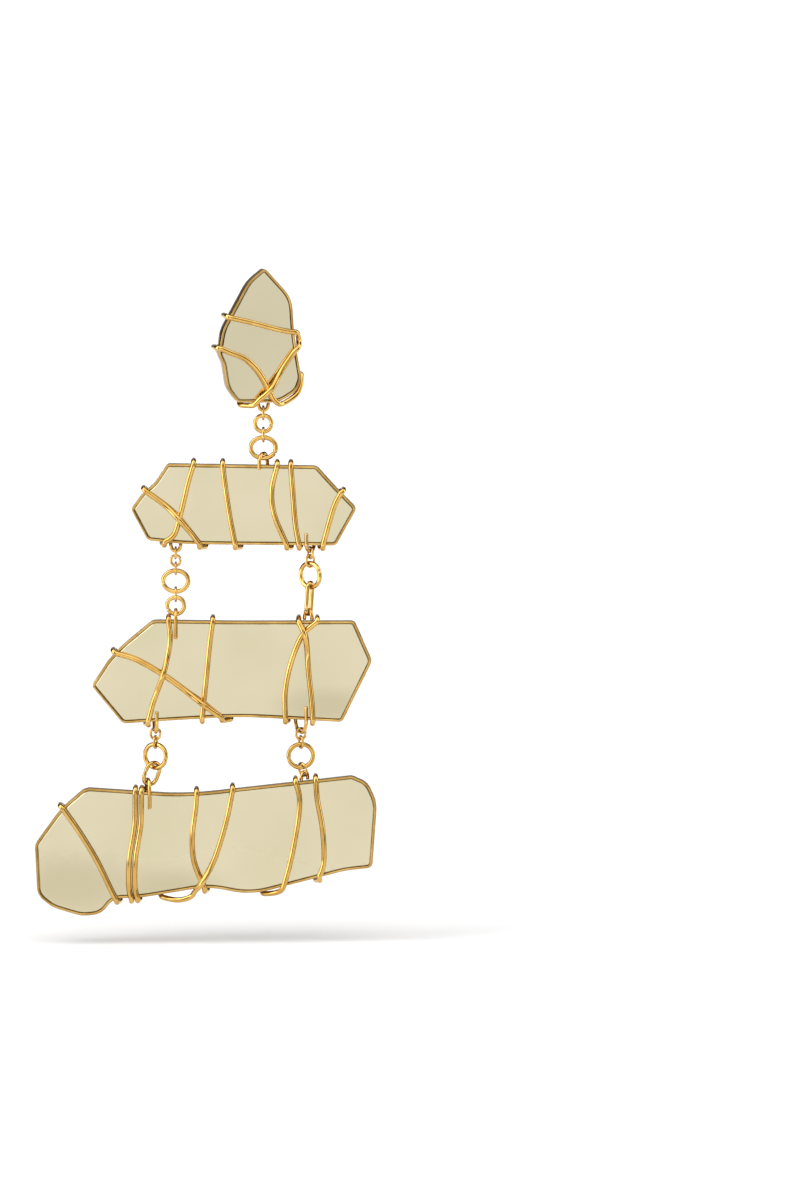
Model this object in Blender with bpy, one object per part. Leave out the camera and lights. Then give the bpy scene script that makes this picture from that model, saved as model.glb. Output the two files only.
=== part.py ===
"""A chandelier earring: four mirror plaques in shallow gold trays, wound with gold wire and hung one
under the other on short chains of jump rings.

Metres, +Z up, the mirrors face -Y. The origin is where the ear post leaves its pad, behind the top plaque.
Each tier is drawn about its own centre, as seen from the front: x to the right, z up.
"""

import math

import bmesh
import bpy
import numpy as np

for old in list(bpy.data.objects):
    bpy.data.objects.remove(old, do_unlink=True)

# Plaques: the width and height of each tier, and the tray and mirror that all four share.
TIER_1_WIDTH = 0.0156
TIER_1_HEIGHT = 0.0245
TIER_2_WIDTH = 0.0413
TIER_2_HEIGHT = 0.0151
TIER_3_WIDTH = 0.0515
TIER_3_HEIGHT = 0.0191
TIER_4_WIDTH = 0.0632
TIER_4_HEIGHT = 0.0257
TRAY_DEPTH = 0.0022
RIM_WIDTH = 0.00045
MIRROR_THICKNESS = 0.0012
MIRROR_RECESS = 0.0001
EDGE_BEVEL = 0.00012
SEAT_GAP = 0.0001
TIER_1_TURN = math.radians(16)

# Wires: what is wound round the plaques, what the staples are bent from, and three sizes of ring.
WRAP_WIRE = 0.00100
WRAP_GAP = 0.00008
STAPLE_WIRE = 0.00070
TINY_WIRE = 0.00045
SMALL_WIRE = 0.00050
LINK_WIRE = 0.00078
BIG_WIRE = 0.00085
LINK_GAP = 0.00015

# Wound wires: how far from a crossing the upper one starts to rise, their short ends, and the distance
# between the points of their routes.
CROSSING_REACH = 0.0024
TAIL_LENGTH = 0.0024
ROUTE_STEP = 0.0022

# Staples: how much further the loops hang under each tier than the ring through them needs.
TIER_1_HANG = 0.00035
TIER_2_HANG = 0.0
TIER_3_HANG = 0.00095
LEG_BEHIND = 0.0010
LOOP_EASING = 0.75

# Ear post, on a pad behind the top plaque.
PAD_DIAMETER = 0.0050
PAD_THICKNESS = 0.0006
POST_DIAMETER = 0.0009
POST_LENGTH = 0.0110
POST_TIP = 0.0004
POST_SIDES = 16

# The ear post sits over chain A, this share of the top plaque's height above its middle.
POST_HEIGHT_SHARE = 0.128

# Chain D's last link leans: the bottom plaque hangs this far to the left of the chain.
CHAIN_D_LEAN = 0.0014

WIRE_SIDES_SETTING = 1
RING_POINTS = 14

# Each outline runs clockwise from the top left or top: x and z of a corner as shares of the tier's width
# and height, and how much of the shorter side next to it the corner's curve takes.
TIER_1_CORNERS = (
    (0.059, 0.522, 0.18),
    (0.392, 0.291, 0.30),
    (0.421, 0.000, 0.40),
    (0.508, -0.317, 0.30),
    (0.451, -0.416, 0.45),
    (0.226, -0.499, 0.40),
    (-0.273, -0.491, 0.25),
    (-0.404, -0.385, 0.40),
    (-0.451, -0.197, 0.30),
    (-0.510, -0.121, 0.45),
    (-0.463, 0.060, 0.40),
    (-0.356, 0.181, 0.30),
    (-0.142, 0.423, 0.40),
)
TIER_2_CORNERS = (
    (-0.343, 0.504, 0.12),
    (0.039, 0.488, 0.30),
    (0.326, 0.477, 0.15),
    (0.406, 0.234, 0.30),
    (0.505, -0.042, 0.15),
    (0.411, -0.502, 0.10),
    (-0.051, -0.492, 0.20),
    (-0.271, -0.483, 0.30),
    (-0.432, -0.438, 0.12),
    (-0.506, -0.054, 0.15),
    (-0.459, 0.130, 0.40),
    (-0.401, 0.265, 0.30),
)
TIER_3_CORNERS = (
    (-0.286, 0.502, 0.12),
    (0.012, 0.491, 0.30),
    (0.440, 0.493, 0.10),
    (0.503, 0.105, 0.10),
    (0.395, -0.492, 0.10),
    (0.249, -0.470, 0.30),
    (0.019, -0.438, 0.40),
    (-0.243, -0.480, 0.30),
    (-0.394, -0.506, 0.10),
    (-0.506, -0.138, 0.12),
    (-0.448, 0.105, 0.30),
    (-0.394, 0.260, 0.30),
)
TIER_4_CORNERS = (
    (-0.352, 0.423, 0.20),
    (-0.059, 0.374, 0.30),
    (0.430, 0.509, 0.10),
    (0.477, 0.459, 0.40),
    (0.504, 0.314, 0.40),
    (0.490, -0.157, 0.20),
    (0.410, -0.179, 0.30),
    (0.331, -0.229, 0.40),
    (0.132, -0.356, 0.45),
    (0.008, -0.294, 0.40),
    (-0.191, -0.376, 0.40),
    (-0.270, -0.381, 0.45),
    (-0.305, -0.492, 0.40),
    (-0.361, -0.510, 0.40),
    (-0.449, -0.446, 0.40),
    (-0.493, -0.356, 0.40),
    (-0.500, 0.012, 0.10),
    (-0.425, 0.268, 0.40),
)

# Each pass is one run of the wound wire over the front, from edge to edge, and then where it goes: either
# behind the plaque or, where it returns, round the edge to the front again. All points are shares of the
# tier's width and height.
TIER_1_PASSES = (
    {"front": ((-0.392, 0.159), (-0.112, 0.113), (0.229, 0.054), (0.419, 0.030)),
     "gone": (0.439, -0.083), "way": "returns"},
    {"front": ((0.439, -0.083), (0.305, -0.203), (0.108, -0.386), (-0.071, -0.494)),
     "gone": (-0.209, -0.491), "way": "behind"},
    {"front": ((-0.499, -0.076), (-0.338, -0.141), (-0.126, -0.179),
               (0.018, -0.276), (0.108, -0.392), (0.178, -0.499)),
     "gone": (0.510, -0.295), "way": "behind"},
)
TIER_2_PASSES = (
    {"front": ((-0.226, 0.498), (-0.249, 0.290), (-0.282, -0.088), (-0.316, -0.379), (-0.356, -0.465)),
     "gone": (-0.367, -0.459), "way": "behind"},
    {"front": ((-0.441, 0.173), (-0.336, -0.047), (-0.246, -0.318), (-0.199, -0.486)),
     "gone": (-0.172, -0.490), "way": "behind"},
    {"front": ((-0.096, 0.494), (-0.085, 0.240), (-0.064, -0.153), (-0.040, -0.492)),
     "gone": (-0.015, -0.493), "way": "behind"},
    {"front": ((0.148, 0.483), (0.124, 0.185), (0.134, -0.113), (0.191, -0.497)),
     "gone": (0.211, -0.498), "way": "behind"},
    {"front": ((0.209, 0.482), (0.218, 0.158), (0.231, -0.269), (0.246, -0.499)),
     "gone": (0.253, -0.499), "way": "behind"},
    {"front": ((0.435, 0.155), (0.407, 0.011), (0.377, -0.253), (0.353, -0.501)),
     "gone": (0.339, -0.501), "way": "behind"},
)
TIER_3_LEFT_PASSES = (
    {"front": ((-0.423, 0.192), (-0.341, 0.149), (-0.249, -0.021), (-0.146, -0.230), (-0.038, -0.446)),
     "gone": (-0.006, -0.441), "way": "behind"},
    {"front": ((-0.070, 0.494), (-0.080, 0.296), (-0.095, -0.099), (-0.109, -0.456)),
     "gone": (-0.112, -0.457), "way": "behind"},
    {"front": ((-0.229, 0.500), (-0.223, 0.319), (-0.246, -0.006), (-0.284, -0.300), (-0.303, -0.490)),
     "gone": (-0.313, -0.492), "way": "behind"},
)
TIER_3_RIGHT_PASSES = (
    {"front": ((0.305, 0.492), (0.255, 0.367), (0.213, 0.105), (0.190, -0.196), (0.191, -0.461)),
     "gone": (0.201, -0.462), "way": "behind"},
    {"front": ((0.239, 0.492), (0.262, 0.347), (0.275, -0.029), (0.287, -0.339), (0.289, -0.476)),
     "gone": (0.291, -0.476), "way": "behind"},
)
TIER_4_LEFT_PASSES = (
    {"front": ((-0.419, 0.278), (-0.371, 0.110), (-0.320, -0.097), (-0.275, -0.325), (-0.264, -0.377)),
     "gone": (-0.252, -0.379), "way": "behind"},
    {"front": ((-0.205, 0.397), (-0.207, 0.158), (-0.223, -0.104), (-0.223, -0.327), (-0.217, -0.379)),
     "gone": (-0.214, -0.377), "way": "behind"},
    {"front": ((-0.187, 0.394), (-0.189, 0.158), (-0.205, -0.104), (-0.205, -0.327), (-0.199, -0.377)),
     "gone": (-0.193, -0.376), "way": "behind"},
    {"front": ((-0.025, 0.384), (-0.028, 0.282), (-0.038, 0.068), (-0.033, -0.111), (-0.002, -0.304)),
     "gone": (0.006, -0.295), "way": "behind"},
    {"front": ((0.081, 0.410), (0.059, 0.186), (0.019, -0.111), (-0.027, -0.305)),
     "gone": (-0.132, -0.352), "way": "behind"},
)
TIER_4_RIGHT_PASSES = (
    {"front": ((0.266, 0.456), (0.277, 0.336), (0.255, -0.054), (0.230, -0.291)),
     "gone": (0.167, -0.334), "way": "behind"},
    {"front": ((0.325, 0.472), (0.328, 0.351), (0.344, 0.117), (0.347, -0.125), (0.334, -0.226)),
     "gone": (0.322, -0.237), "way": "behind"},
)

# Staples: x of the loop's middle as a share of the tier's width, half the distance sideways between its
# feet, the leg that shows on the mirror, and how much higher a loop stands than the link through it needs.
# With no leg the feet are soldered to the tray's edge, spread apart from front to back, and otherwise the
# staple straddles the plaque. A loop that faces the front turns that way at its end.
STAPLES = {
    "a_upper": {"x": 0.055, "skew": 0.00093, "spread": 0.0, "leg": 0.0},
    "a_lower": {"x": 0.086, "skew": 0.00075, "leg": 0.0008, "higher": 0.0006},
    "b_upper": {"x": -0.307, "skew": 0.00093, "spread": 0.0, "leg": 0.0},
    "b_lower": {"x": -0.203, "skew": 0.0, "leg": 0.0034, "higher": 0.0005},
    "c_upper": {"x": 0.2955, "skew": 0.0007, "leg": 0.0022, "faces_front": True},
    "c_lower": {"x": 0.273, "skew": -0.0007, "spread": 0.0007, "leg": 0.0, "higher": 0.00065},
    "d_upper": {"x": -0.277, "skew": -0.00028, "leg": 0.0018},
    "d_lower": {"x": -0.168, "skew": -0.00035, "leg": 0.0031, "higher": 0.00085},
    "e_upper": {"x": 0.246, "skew": -0.0010, "leg": 0.0025},
    "e_lower": {"x": 0.291, "skew": 0.0006, "spread": 0.0007, "leg": 0.0, "higher": 0.00055},
}

# Links, from the top down: the wire, the width and length beyond the least that the wires through the link
# need, and the turn about the chain, where 0 faces the front. A last link with no length closes the chain.
CHAIN_A = (
    {"wire": SMALL_WIRE, "wider": 0.0003, "longer": 0.0, "turn": 90},
    {"wire": LINK_WIRE, "wider": 0.00145, "longer": 0.0009, "turn": 0},
    {"wire": SMALL_WIRE, "wider": 0.00025, "longer": 0.0, "turn": 90},
    {"wire": BIG_WIRE, "wider": 0.0028, "longer": 0.00145, "turn": 0},
)
CHAIN_B = (
    {"wire": TINY_WIRE, "wider": 0.0001, "longer": 0.0, "turn": 90},
    {"wire": SMALL_WIRE, "wider": 0.00045, "longer": 0.00015, "turn": 0},
    {"wire": TINY_WIRE, "wider": 0.00005, "longer": 0.0, "turn": 90},
    {"wire": BIG_WIRE, "wider": 0.0030, "longer": 0.00175, "turn": 0},
    {"wire": SMALL_WIRE, "wider": 0.00025, "longer": 0.0, "turn": 90},
    {"wire": LINK_WIRE, "wider": 0.00135, "longer": 0.0008, "turn": 0},
)
CHAIN_C = (
    {"wire": SMALL_WIRE, "wider": 0.0004, "longer": 0.0, "turn": -65},
    {"wire": TINY_WIRE, "wider": 0.0, "longer": 0.0, "turn": 30},
    {"wire": BIG_WIRE, "wider": 0.0027, "longer": 0.0021, "turn": -40},
    {"wire": LINK_WIRE, "wider": 0.0001, "longer": None, "turn": 63},
)
CHAIN_D = (
    {"wire": SMALL_WIRE, "wider": 0.0003, "longer": 0.0, "turn": -12},
    {"wire": TINY_WIRE, "wider": 0.0, "longer": 0.0, "turn": 70},
    {"wire": BIG_WIRE, "wider": 0.0027, "longer": 0.0020, "turn": -33},
    {"wire": LINK_WIRE, "wider": 0.0010, "longer": 0.0014, "turn": 35},
)
CHAIN_E = (
    {"wire": SMALL_WIRE, "wider": 0.0003, "longer": 0.0, "turn": 20},
    {"wire": TINY_WIRE, "wider": 0.0, "longer": 0.0, "turn": -65},
    {"wire": BIG_WIRE, "wider": 0.0030, "longer": 0.0022, "turn": 12},
    {"wire": SMALL_WIRE, "wider": 0.0004, "longer": None, "turn": -50},
)


def metal(name, colour, roughness):
    """A metallic Principled material."""
    material = bpy.data.materials.new(name)
    material.use_nodes = True
    shader = material.node_tree.nodes["Principled BSDF"]
    shader.inputs["Base Color"].default_value = (*colour, 1.0)
    shader.inputs["Metallic"].default_value = 1.0
    shader.inputs["Roughness"].default_value = roughness
    return material


GOLD_WIRE = metal("gold_wire", (0.83, 0.58, 0.24), 0.18)
GOLD_RING = metal("gold_ring", (0.86, 0.63, 0.28), 0.15)
TRAY_GOLD = metal("tray_gold", (0.62, 0.44, 0.19), 0.30)
MIRROR = metal("champagne_mirror", (0.75, 0.70, 0.50), 0.05)
POST_GOLD = metal("post_gold", (0.80, 0.60, 0.30), 0.25)


# Placing: an empty stands on each joint's axis, and every piece is parented to its body's empty.
BODIES = {}


def body(name, place, parent=None):
    """An empty at a place in the world, under its parent body's empty."""
    empty = bpy.data.objects.new(name, None)
    empty.empty_display_size = WRAP_WIRE
    bpy.context.scene.collection.objects.link(empty)
    empty.location = np.subtract(place, BODIES[parent][1]) if parent else place
    empty.parent = BODIES[parent][0] if parent else None
    BODIES[name] = (empty, tuple(place))


def put(name, data, material, owner, place, rotation=(0.0, 0.0, 0.0)):
    """An object of this mesh or curve at a place in the world, under its body's empty."""
    piece = bpy.data.objects.new(name, data)
    bpy.context.scene.collection.objects.link(piece)
    data.materials.append(material)
    piece.parent = BODIES[owner][0]
    piece.location = np.subtract(place, BODIES[owner][1])
    piece.rotation_euler = rotation
    return piece


def wire(name, points, diameter, closed=False):
    """A round wire along these points, as a bevelled curve with filled ends."""
    curve = bpy.data.curves.new(name, "CURVE")
    curve.dimensions = "3D"
    curve.bevel_depth = diameter / 2
    curve.bevel_resolution = WIRE_SIDES_SETTING
    curve.use_fill_caps = not closed
    spline = curve.splines.new("POLY")
    spline.points.add(len(points) - 1)
    spline.points.foreach_set("co", np.column_stack([points, np.ones(len(points))]).ravel())
    spline.use_cyclic_u = closed
    return curve


def stacked(name, loops):
    """A closed mesh through loops of equal length, with a face over the first and over the last."""
    mesh = bpy.data.meshes.new(name)
    work = bmesh.new()
    rings = [[work.verts.new(point) for point in loop] for loop in loops]
    for low, high in zip(rings, rings[1:]):
        for i in range(len(low)):
            work.faces.new((low[i - 1], low[i], high[i], high[i - 1]))
    work.faces.new(rings[0])
    work.faces.new(rings[-1])
    bmesh.ops.recalc_face_normals(work, faces=work.faces)
    work.to_mesh(mesh)
    work.free()
    return mesh


def outline(tier, inset=0.0):
    """The plaque's outline as (x, z) points, moved inwards by inset, its corners rounded.

    A corner's curve is a parabola between two points on its sides. Moving inwards takes
    inset * tan(half the turn) off the distance to them, as it does with an arc.
    """
    table = np.array(tier["corners"])
    corners = table[:, :2] * (tier["width"], tier["height"])
    ahead = np.roll(corners, -1, axis=0) - corners
    lengths = np.linalg.norm(ahead, axis=1)
    ahead = ahead / lengths[:, None]
    back = np.roll(ahead, 1, axis=0)
    outward = np.column_stack([-ahead[:, 1], ahead[:, 0]])
    outward_back = np.roll(outward, 1, axis=0)
    turn = np.arctan2(back[:, 1] * ahead[:, 0] - back[:, 0] * ahead[:, 1], (back * ahead).sum(axis=1))
    both = outward + outward_back
    moved = corners - inset * both / (1 + (outward * outward_back).sum(axis=1))[:, None]
    cut = table[:, 2] * np.minimum(lengths, np.roll(lengths, 1)) - inset * np.tan(turn / 2)
    points = []
    for corner, to_corner, away, reach, bend in zip(moved, back, ahead, cut, turn):
        start, end = corner - to_corner * reach, corner + away * reach
        steps = 4 if abs(bend) > math.radians(25) else 2
        for t in np.linspace(0, 1, steps + 1):
            points.append((1 - t) ** 2 * start + 2 * t * (1 - t) * corner + t**2 * end)
    return np.array(points)


def edge_lengths(edge):
    """How far round the outline each of its points is, and the whole way round."""
    sides = np.linalg.norm(np.roll(edge, -1, axis=0) - edge, axis=1)
    return np.concatenate([[0.0], np.cumsum(sides)])


def find_on_edge(edge, point):
    """How far round the outline its nearest place to a point is."""
    after = np.roll(edge, -1, axis=0)
    side = after - edge
    share = np.clip(((point - edge) * side).sum(axis=1) / (side**2).sum(axis=1), 0, 1)
    gaps = np.linalg.norm(edge + side * share[:, None] - point, axis=1)
    nearest = gaps.argmin()
    return edge_lengths(edge)[nearest] + share[nearest] * np.linalg.norm(side[nearest])


def on_edge(edge, distance):
    """The place this far round the outline, and the way out from it."""
    lengths = edge_lengths(edge)
    distance = distance % lengths[-1]
    loop = np.vstack([edge, edge[:1]])
    place = np.array([np.interp(distance, lengths, loop[:, axis]) for axis in (0, 1)])
    step = WRAP_WIRE / 2
    near = [(distance + way * step) % lengths[-1] for way in (-1, 1)]
    before, after = [np.array([np.interp(d, lengths, loop[:, axis]) for axis in (0, 1)]) for d in near]
    along = (after - before) / np.linalg.norm(after - before)
    return place, np.array([-along[1], along[0]])


def wall_height(edge, x, side):
    """The height of the outline's top (side 1) or bottom (side -1) at x."""
    after = np.roll(edge, -1, axis=0)
    spans = (edge[:, 0] - x) * (after[:, 0] - x) <= 0
    start, end = edge[spans], after[spans]
    share = (x - start[:, 0]) / np.where(end[:, 0] == start[:, 0], 1.0, end[:, 0] - start[:, 0])
    heights = start[:, 1] + share * (end[:, 1] - start[:, 1])
    return side * (side * heights).max()


def smooth(points, step=ROUTE_STEP):
    """A Catmull-Rom curve through the points, with a point about every step."""
    points = np.array(points, float)
    held = np.vstack([2 * points[0] - points[1], points, 2 * points[-1] - points[-2]])
    found = []
    for p0, p1, p2, p3 in zip(held, held[1:], held[2:], held[3:]):
        count = max(2, round(np.linalg.norm(p2 - p1) / step))
        for t in np.arange(count) / count:
            bend = (2 * p0 - 5 * p1 + 4 * p2 - p3) * t**2 + (3 * p1 - p0 - 3 * p2 + p3) * t**3
            found.append(0.5 * (2 * p1 + (p2 - p0) * t + bend))
    return np.array(found + [points[-1]])


def round_edge(edge, start, finish, returns):
    """Wire round the plaque's edge, from the front at start to the back, or to the front again, at finish."""
    clear = WRAP_WIRE / 2 + WRAP_GAP
    half = TRAY_DEPTH / 2
    whole = edge_lengths(edge)[-1]
    way = (finish - start + whole / 2) % whole - whole / 2
    steps = max(2, math.ceil(abs(way) / WRAP_WIRE))
    diagonal = clear * math.sqrt(0.5)

    def at(distance, out, y):
        place, outward = on_edge(edge, distance)
        x, z = place + outward * out
        return (x, y, z)

    points = [at(start, diagonal, -half - diagonal)]
    for share in np.arange(steps + 1) / steps:
        y = half * (math.sin(math.pi * share) - 1) if returns else half * (2 * share - 1)
        points.append(at(start + way * share, clear, y))
    side = -1 if returns else 1
    points.append(at(start + way, diagonal, side * (half + diagonal)))
    points.append(at(start + way, 0.0, side * (half + clear)))
    return np.array(points)


def crossing_place(over, under):
    """The place on one run of wire, seen from the front, that lies nearest to another run."""
    gaps = np.linalg.norm(over[:, None, [0, 2]] - under[None, :, [0, 2]], axis=2)
    i, j = np.unravel_index(gaps.argmin(), gaps.shape)
    return (over[i, [0, 2]] + under[j, [0, 2]]) / 2


def wound(tier, passes, over):
    """One length of wire wound round a plaque. over lists (upper pass, lower pass) for each crossing."""
    size = np.array([tier["width"], tier["height"]])
    edge = outline(tier)
    front_y = -(TRAY_DEPTH / 2 + WRAP_GAP + WRAP_WIRE / 2)
    fronts, turns = [], []
    for run in passes:
        points = [np.array(share) * size for share in run["front"]]
        ends = (points[0], points[-1], np.array(run["gone"]) * size)
        start, finish, gone = [find_on_edge(edge, end) for end in ends]
        flat = smooth([on_edge(edge, start)[0], *points[1:-1], on_edge(edge, finish)[0]])
        fronts.append(np.column_stack([flat[:, 0], np.full(len(flat), front_y), flat[:, 1]]))
        turns.append((start, finish, gone, run["way"] == "returns"))
    for upper, lower in over:
        dense = [smooth(fronts[i], WRAP_WIRE / 8) for i in (upper, lower)]
        away = np.linalg.norm(fronts[upper][:, [0, 2]] - crossing_place(*dense), axis=1)
        fronts[upper][:, 1] -= (WRAP_WIRE + 2 * WRAP_GAP) * np.exp(-((away / CROSSING_REACH) ** 2))
    route = []
    returned = False
    for front, (start, finish, gone, returns) in zip(fronts, turns):
        if not returned:
            entry = round_edge(edge, start, start, False)[::-1]
            if not route:
                place, outward = on_edge(edge, start)
                x, z = place - outward * TAIL_LENGTH
                entry = np.vstack([[x, -front_y, z], entry])
            route.append(entry)
        route.append(front[1 if returned else 0 :])
        route.append(round_edge(edge, finish, gone, returns))
        returned = returns
    place, outward = on_edge(edge, turns[-1][2])
    x, z = place - outward * TAIL_LENGTH
    return np.vstack([*route, [[x, -front_y, z]]])


def staple(tier, spec, side, loop_z):
    """A staple's route: front leg, loop past the edge to loop_z, back leg.

    The loop is half an ellipse with its sides eased outwards. Where the feet are soldered to the edge it
    starts there, and otherwise it starts beside the tray's front face and ends beside its back.
    """
    edge = outline(tier)
    middle = spec["x"] * tier["width"]
    straddles = spec["leg"] > 0
    across = TRAY_DEPTH / 2 + WRAP_GAP + STAPLE_WIRE / 2 if straddles else spec["spread"]
    easing = 2.0 if spec.get("faces_front") else LOOP_EASING
    feet = [wall_height(edge, middle + way * spec["skew"], side) for way in (-1, 1)]
    if not straddles:
        feet = [foot + side * SEAT_GAP for foot in feet]
    points = []
    if straddles:
        points.append((middle - spec["skew"], -across, feet[0] - side * spec["leg"]))
    for angle in np.linspace(0, math.pi, 11):
        share = -math.cos(angle)
        base = feet[0] if share < 0 else feet[1]
        x = middle + spec["skew"] * math.copysign(abs(share) ** LOOP_EASING, share)
        y = across * math.copysign(abs(share) ** easing, share)
        points.append((x, y, base + (loop_z - base) * math.sin(angle)))
    if straddles:
        points.append((middle + spec["skew"], across, feet[1] - side * LEG_BEHIND))
    return np.array(points)


def link_shape(width, height, thickness):
    """A link's wire centre line, standing and facing the front: two half circles and two straights."""
    radius = (min(width, height) - thickness) / 2
    extra_x = (width - thickness) / 2 - radius
    extra_z = (height - thickness) / 2 - radius
    angle = np.arange(RING_POINTS) * 2 * math.pi / RING_POINTS
    across, up = np.round(np.sin(angle), 9), np.round(np.cos(angle), 9)
    x = radius * across + extra_x * np.sign(across)
    z = radius * up + extra_z * np.sign(up)
    return np.column_stack([x, np.zeros(RING_POINTS), z])


def hung_on(wire_above, wire_below):
    """How far the centre of a link's top wire is above the centre of the wire that carries it."""
    return (wire_above + wire_below) / 2 + LINK_GAP


def clear_of(wire_through):
    """How far a staple's loop has to be from the plaque's edge for a link of this wire to pass."""
    return STAPLE_WIRE / 2 + wire_through + 2 * LINK_GAP


def link_size(links, index):
    """A link's width and length: room for the wires above and below it, and what its row adds."""
    wires = [STAPLE_WIRE, *(spec["wire"] for spec in links), STAPLE_WIRE]
    above, own, below = wires[index : index + 3]
    width = 2 * own + max(above, below) + 2 * LINK_GAP + links[index]["wider"]
    return width, 2 * own + above + below + 3 * LINK_GAP + (links[index]["longer"] or 0.0)


def chain(name, links, owners, x, z, foot=None):
    """Links hanging from a staple's loop at (x, z). foot is where a closing link has to end."""
    carrier = STAPLE_WIRE
    for number, (spec, owner) in enumerate(zip(links, owners), start=1):
        thickness = spec["wire"]
        width, height = link_size(links, number - 1)
        top = z + hung_on(carrier, thickness)
        if number == len(links) and foot:
            foot_x, foot_z = foot
        else:
            foot_x, foot_z = x, top - (height - thickness)
        run = math.hypot(foot_x - x, top - foot_z)
        shape = link_shape(width, run + thickness, thickness)
        piece_name = f"chain_{name}_link_{number}"
        lean = math.atan2(foot_x - x, top - foot_z)
        turn = math.radians(spec["turn"])
        middle = ((x + foot_x) / 2, PLAQUE_Y, (top + foot_z) / 2)
        piece = put(piece_name, wire(piece_name, shape, thickness, closed=True), GOLD_RING, owner, middle)
        # The link is turned about its own length first, and then leaned.
        piece.rotation_mode = "ZYX"
        piece.rotation_euler = (0.0, -lean, turn)
        x, z, carrier = foot_x, foot_z, thickness
    return x, z, carrier


def staple_piece(name, tier, side, loop_z, owner):
    """Adds the staple at one end of a chain. loop_z is measured from the tier's centre."""
    points = staple(tier, STAPLES[name], side, loop_z)
    piece_name = f"chain_{name}_staple"
    put(piece_name, wire(piece_name, points, STAPLE_WIRE), GOLD_WIRE, owner, tier["centre"])


def upper_loop(name, tier):
    """Where the loop of the staple under a tier hangs, in the world: x and z."""
    edge = outline(tier)
    walls = [wall_height(edge, STAPLES[f"{n}_upper"]["x"] * tier["width"], -1) for n in tier["chains"]]
    x = tier["centre"][0] + STAPLES[f"{name}_upper"]["x"] * tier["width"]
    return x, tier["centre"][2] + min(walls) - clear_of(SMALL_WIRE) - tier["hang"]


def lower_loop(name, tier, links):
    """Where the loop of a staple above a tier stands, from the tier's centre: x and z."""
    x = STAPLES[f"{name}_lower"]["x"] * tier["width"]
    stands = clear_of(links[-1]["wire"]) + STAPLES[f"{name}_lower"]["higher"]
    return x, wall_height(outline(tier), x, 1) + stands


def plaque(tier, owner, rotation=(0.0, 0.0, 0.0)):
    """The tray with its pocket, and the mirror set into it."""
    half = TRAY_DEPTH / 2
    floor = -half + MIRROR_RECESS + MIRROR_THICKNESS + SEAT_GAP

    def loop(inset, y):
        flat = outline(tier, inset)
        return np.column_stack([flat[:, 0], np.full(len(flat), y), flat[:, 1]])

    tray = [
        loop(RIM_WIDTH, floor),
        loop(RIM_WIDTH, -half),
        loop(EDGE_BEVEL, -half),
        loop(0.0, -half + EDGE_BEVEL),
        loop(0.0, half - EDGE_BEVEL),
        loop(EDGE_BEVEL, half),
    ]
    glass_edge = RIM_WIDTH + SEAT_GAP
    mirror = [
        loop(glass_edge, floor - SEAT_GAP),
        loop(glass_edge, -half + MIRROR_RECESS + EDGE_BEVEL),
        loop(glass_edge + EDGE_BEVEL, -half + MIRROR_RECESS),
    ]
    for kind, loops, material in (("tray", tray, TRAY_GOLD), ("mirror", mirror, MIRROR)):
        name = f"{tier['name']}_{kind}"
        put(name, stacked(name, loops), material, owner, tier["centre"], rotation)


def turned(profile):
    """Rings round the Y axis, one for each (y, radius) of the profile."""
    angle = np.arange(POST_SIDES) * 2 * math.pi / POST_SIDES
    across, up = np.cos(angle), np.sin(angle)
    return [np.column_stack([r * across, np.full(POST_SIDES, y), r * up]) for y, r in profile]


def wound_pieces(tier, owner, lengths):
    """A tier's wound wires: each name with its passes and its crossings."""
    for name, passes, over in lengths:
        data = wire(name, wound(tier, passes, over), WRAP_WIRE)
        put(name, data, GOLD_WIRE, owner, tier["centre"])


# The origin is the post's root. The top plaque is turned, so chain A, under the middle of its thickness,
# is in front of the origin and a little to one side.
POST_ROOT = TRAY_DEPTH / 2 + SEAT_GAP + PAD_THICKNESS
PLAQUE_Y = -POST_ROOT * math.cos(TIER_1_TURN)
CHAIN_A_X = POST_ROOT * math.sin(TIER_1_TURN)

TIER_1 = {"name": "tier_1", "width": TIER_1_WIDTH, "height": TIER_1_HEIGHT, "corners": TIER_1_CORNERS}
TIER_2 = {"name": "tier_2", "width": TIER_2_WIDTH, "height": TIER_2_HEIGHT, "corners": TIER_2_CORNERS}
TIER_3 = {"name": "tier_3", "width": TIER_3_WIDTH, "height": TIER_3_HEIGHT, "corners": TIER_3_CORNERS}
TIER_4 = {"name": "tier_4", "width": TIER_4_WIDTH, "height": TIER_4_HEIGHT, "corners": TIER_4_CORNERS}
TIER_1 |= {"hang": TIER_1_HANG, "chains": ("a",)}
TIER_2 |= {"hang": TIER_2_HANG, "chains": ("b", "c")}
TIER_3 |= {"hang": TIER_3_HANG, "chains": ("d", "e")}

# Top plaque: the chain hangs straight under the post, and the plaque is turned about that line.
centre_x = CHAIN_A_X - STAPLES["a_upper"]["x"] * TIER_1_WIDTH
straight_centre = (centre_x, PLAQUE_Y, -POST_HEIGHT_SHARE * TIER_1_HEIGHT)
body("top", (0.0, 0.0, 0.0))


def turned_with_top(place):
    """A place on the top plaque, once the plaque is turned about the line of chain A."""
    x, y = place[0] - CHAIN_A_X, place[1] - PLAQUE_Y
    cos, sin = math.cos(TIER_1_TURN), math.sin(TIER_1_TURN)
    return (CHAIN_A_X + x * cos - y * sin, PLAQUE_Y + x * sin + y * cos, place[2])


TIER_1["centre"] = turned_with_top(straight_centre)
TURN = (0.0, 0.0, TIER_1_TURN)
plaque(TIER_1, "top", TURN)
top_wire = wire("tier_1_wire", wound(TIER_1, TIER_1_PASSES, ((1, 2),)), WRAP_WIRE)
put("tier_1_wire", top_wire, GOLD_WIRE, "top", TIER_1["centre"], TURN)

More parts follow.
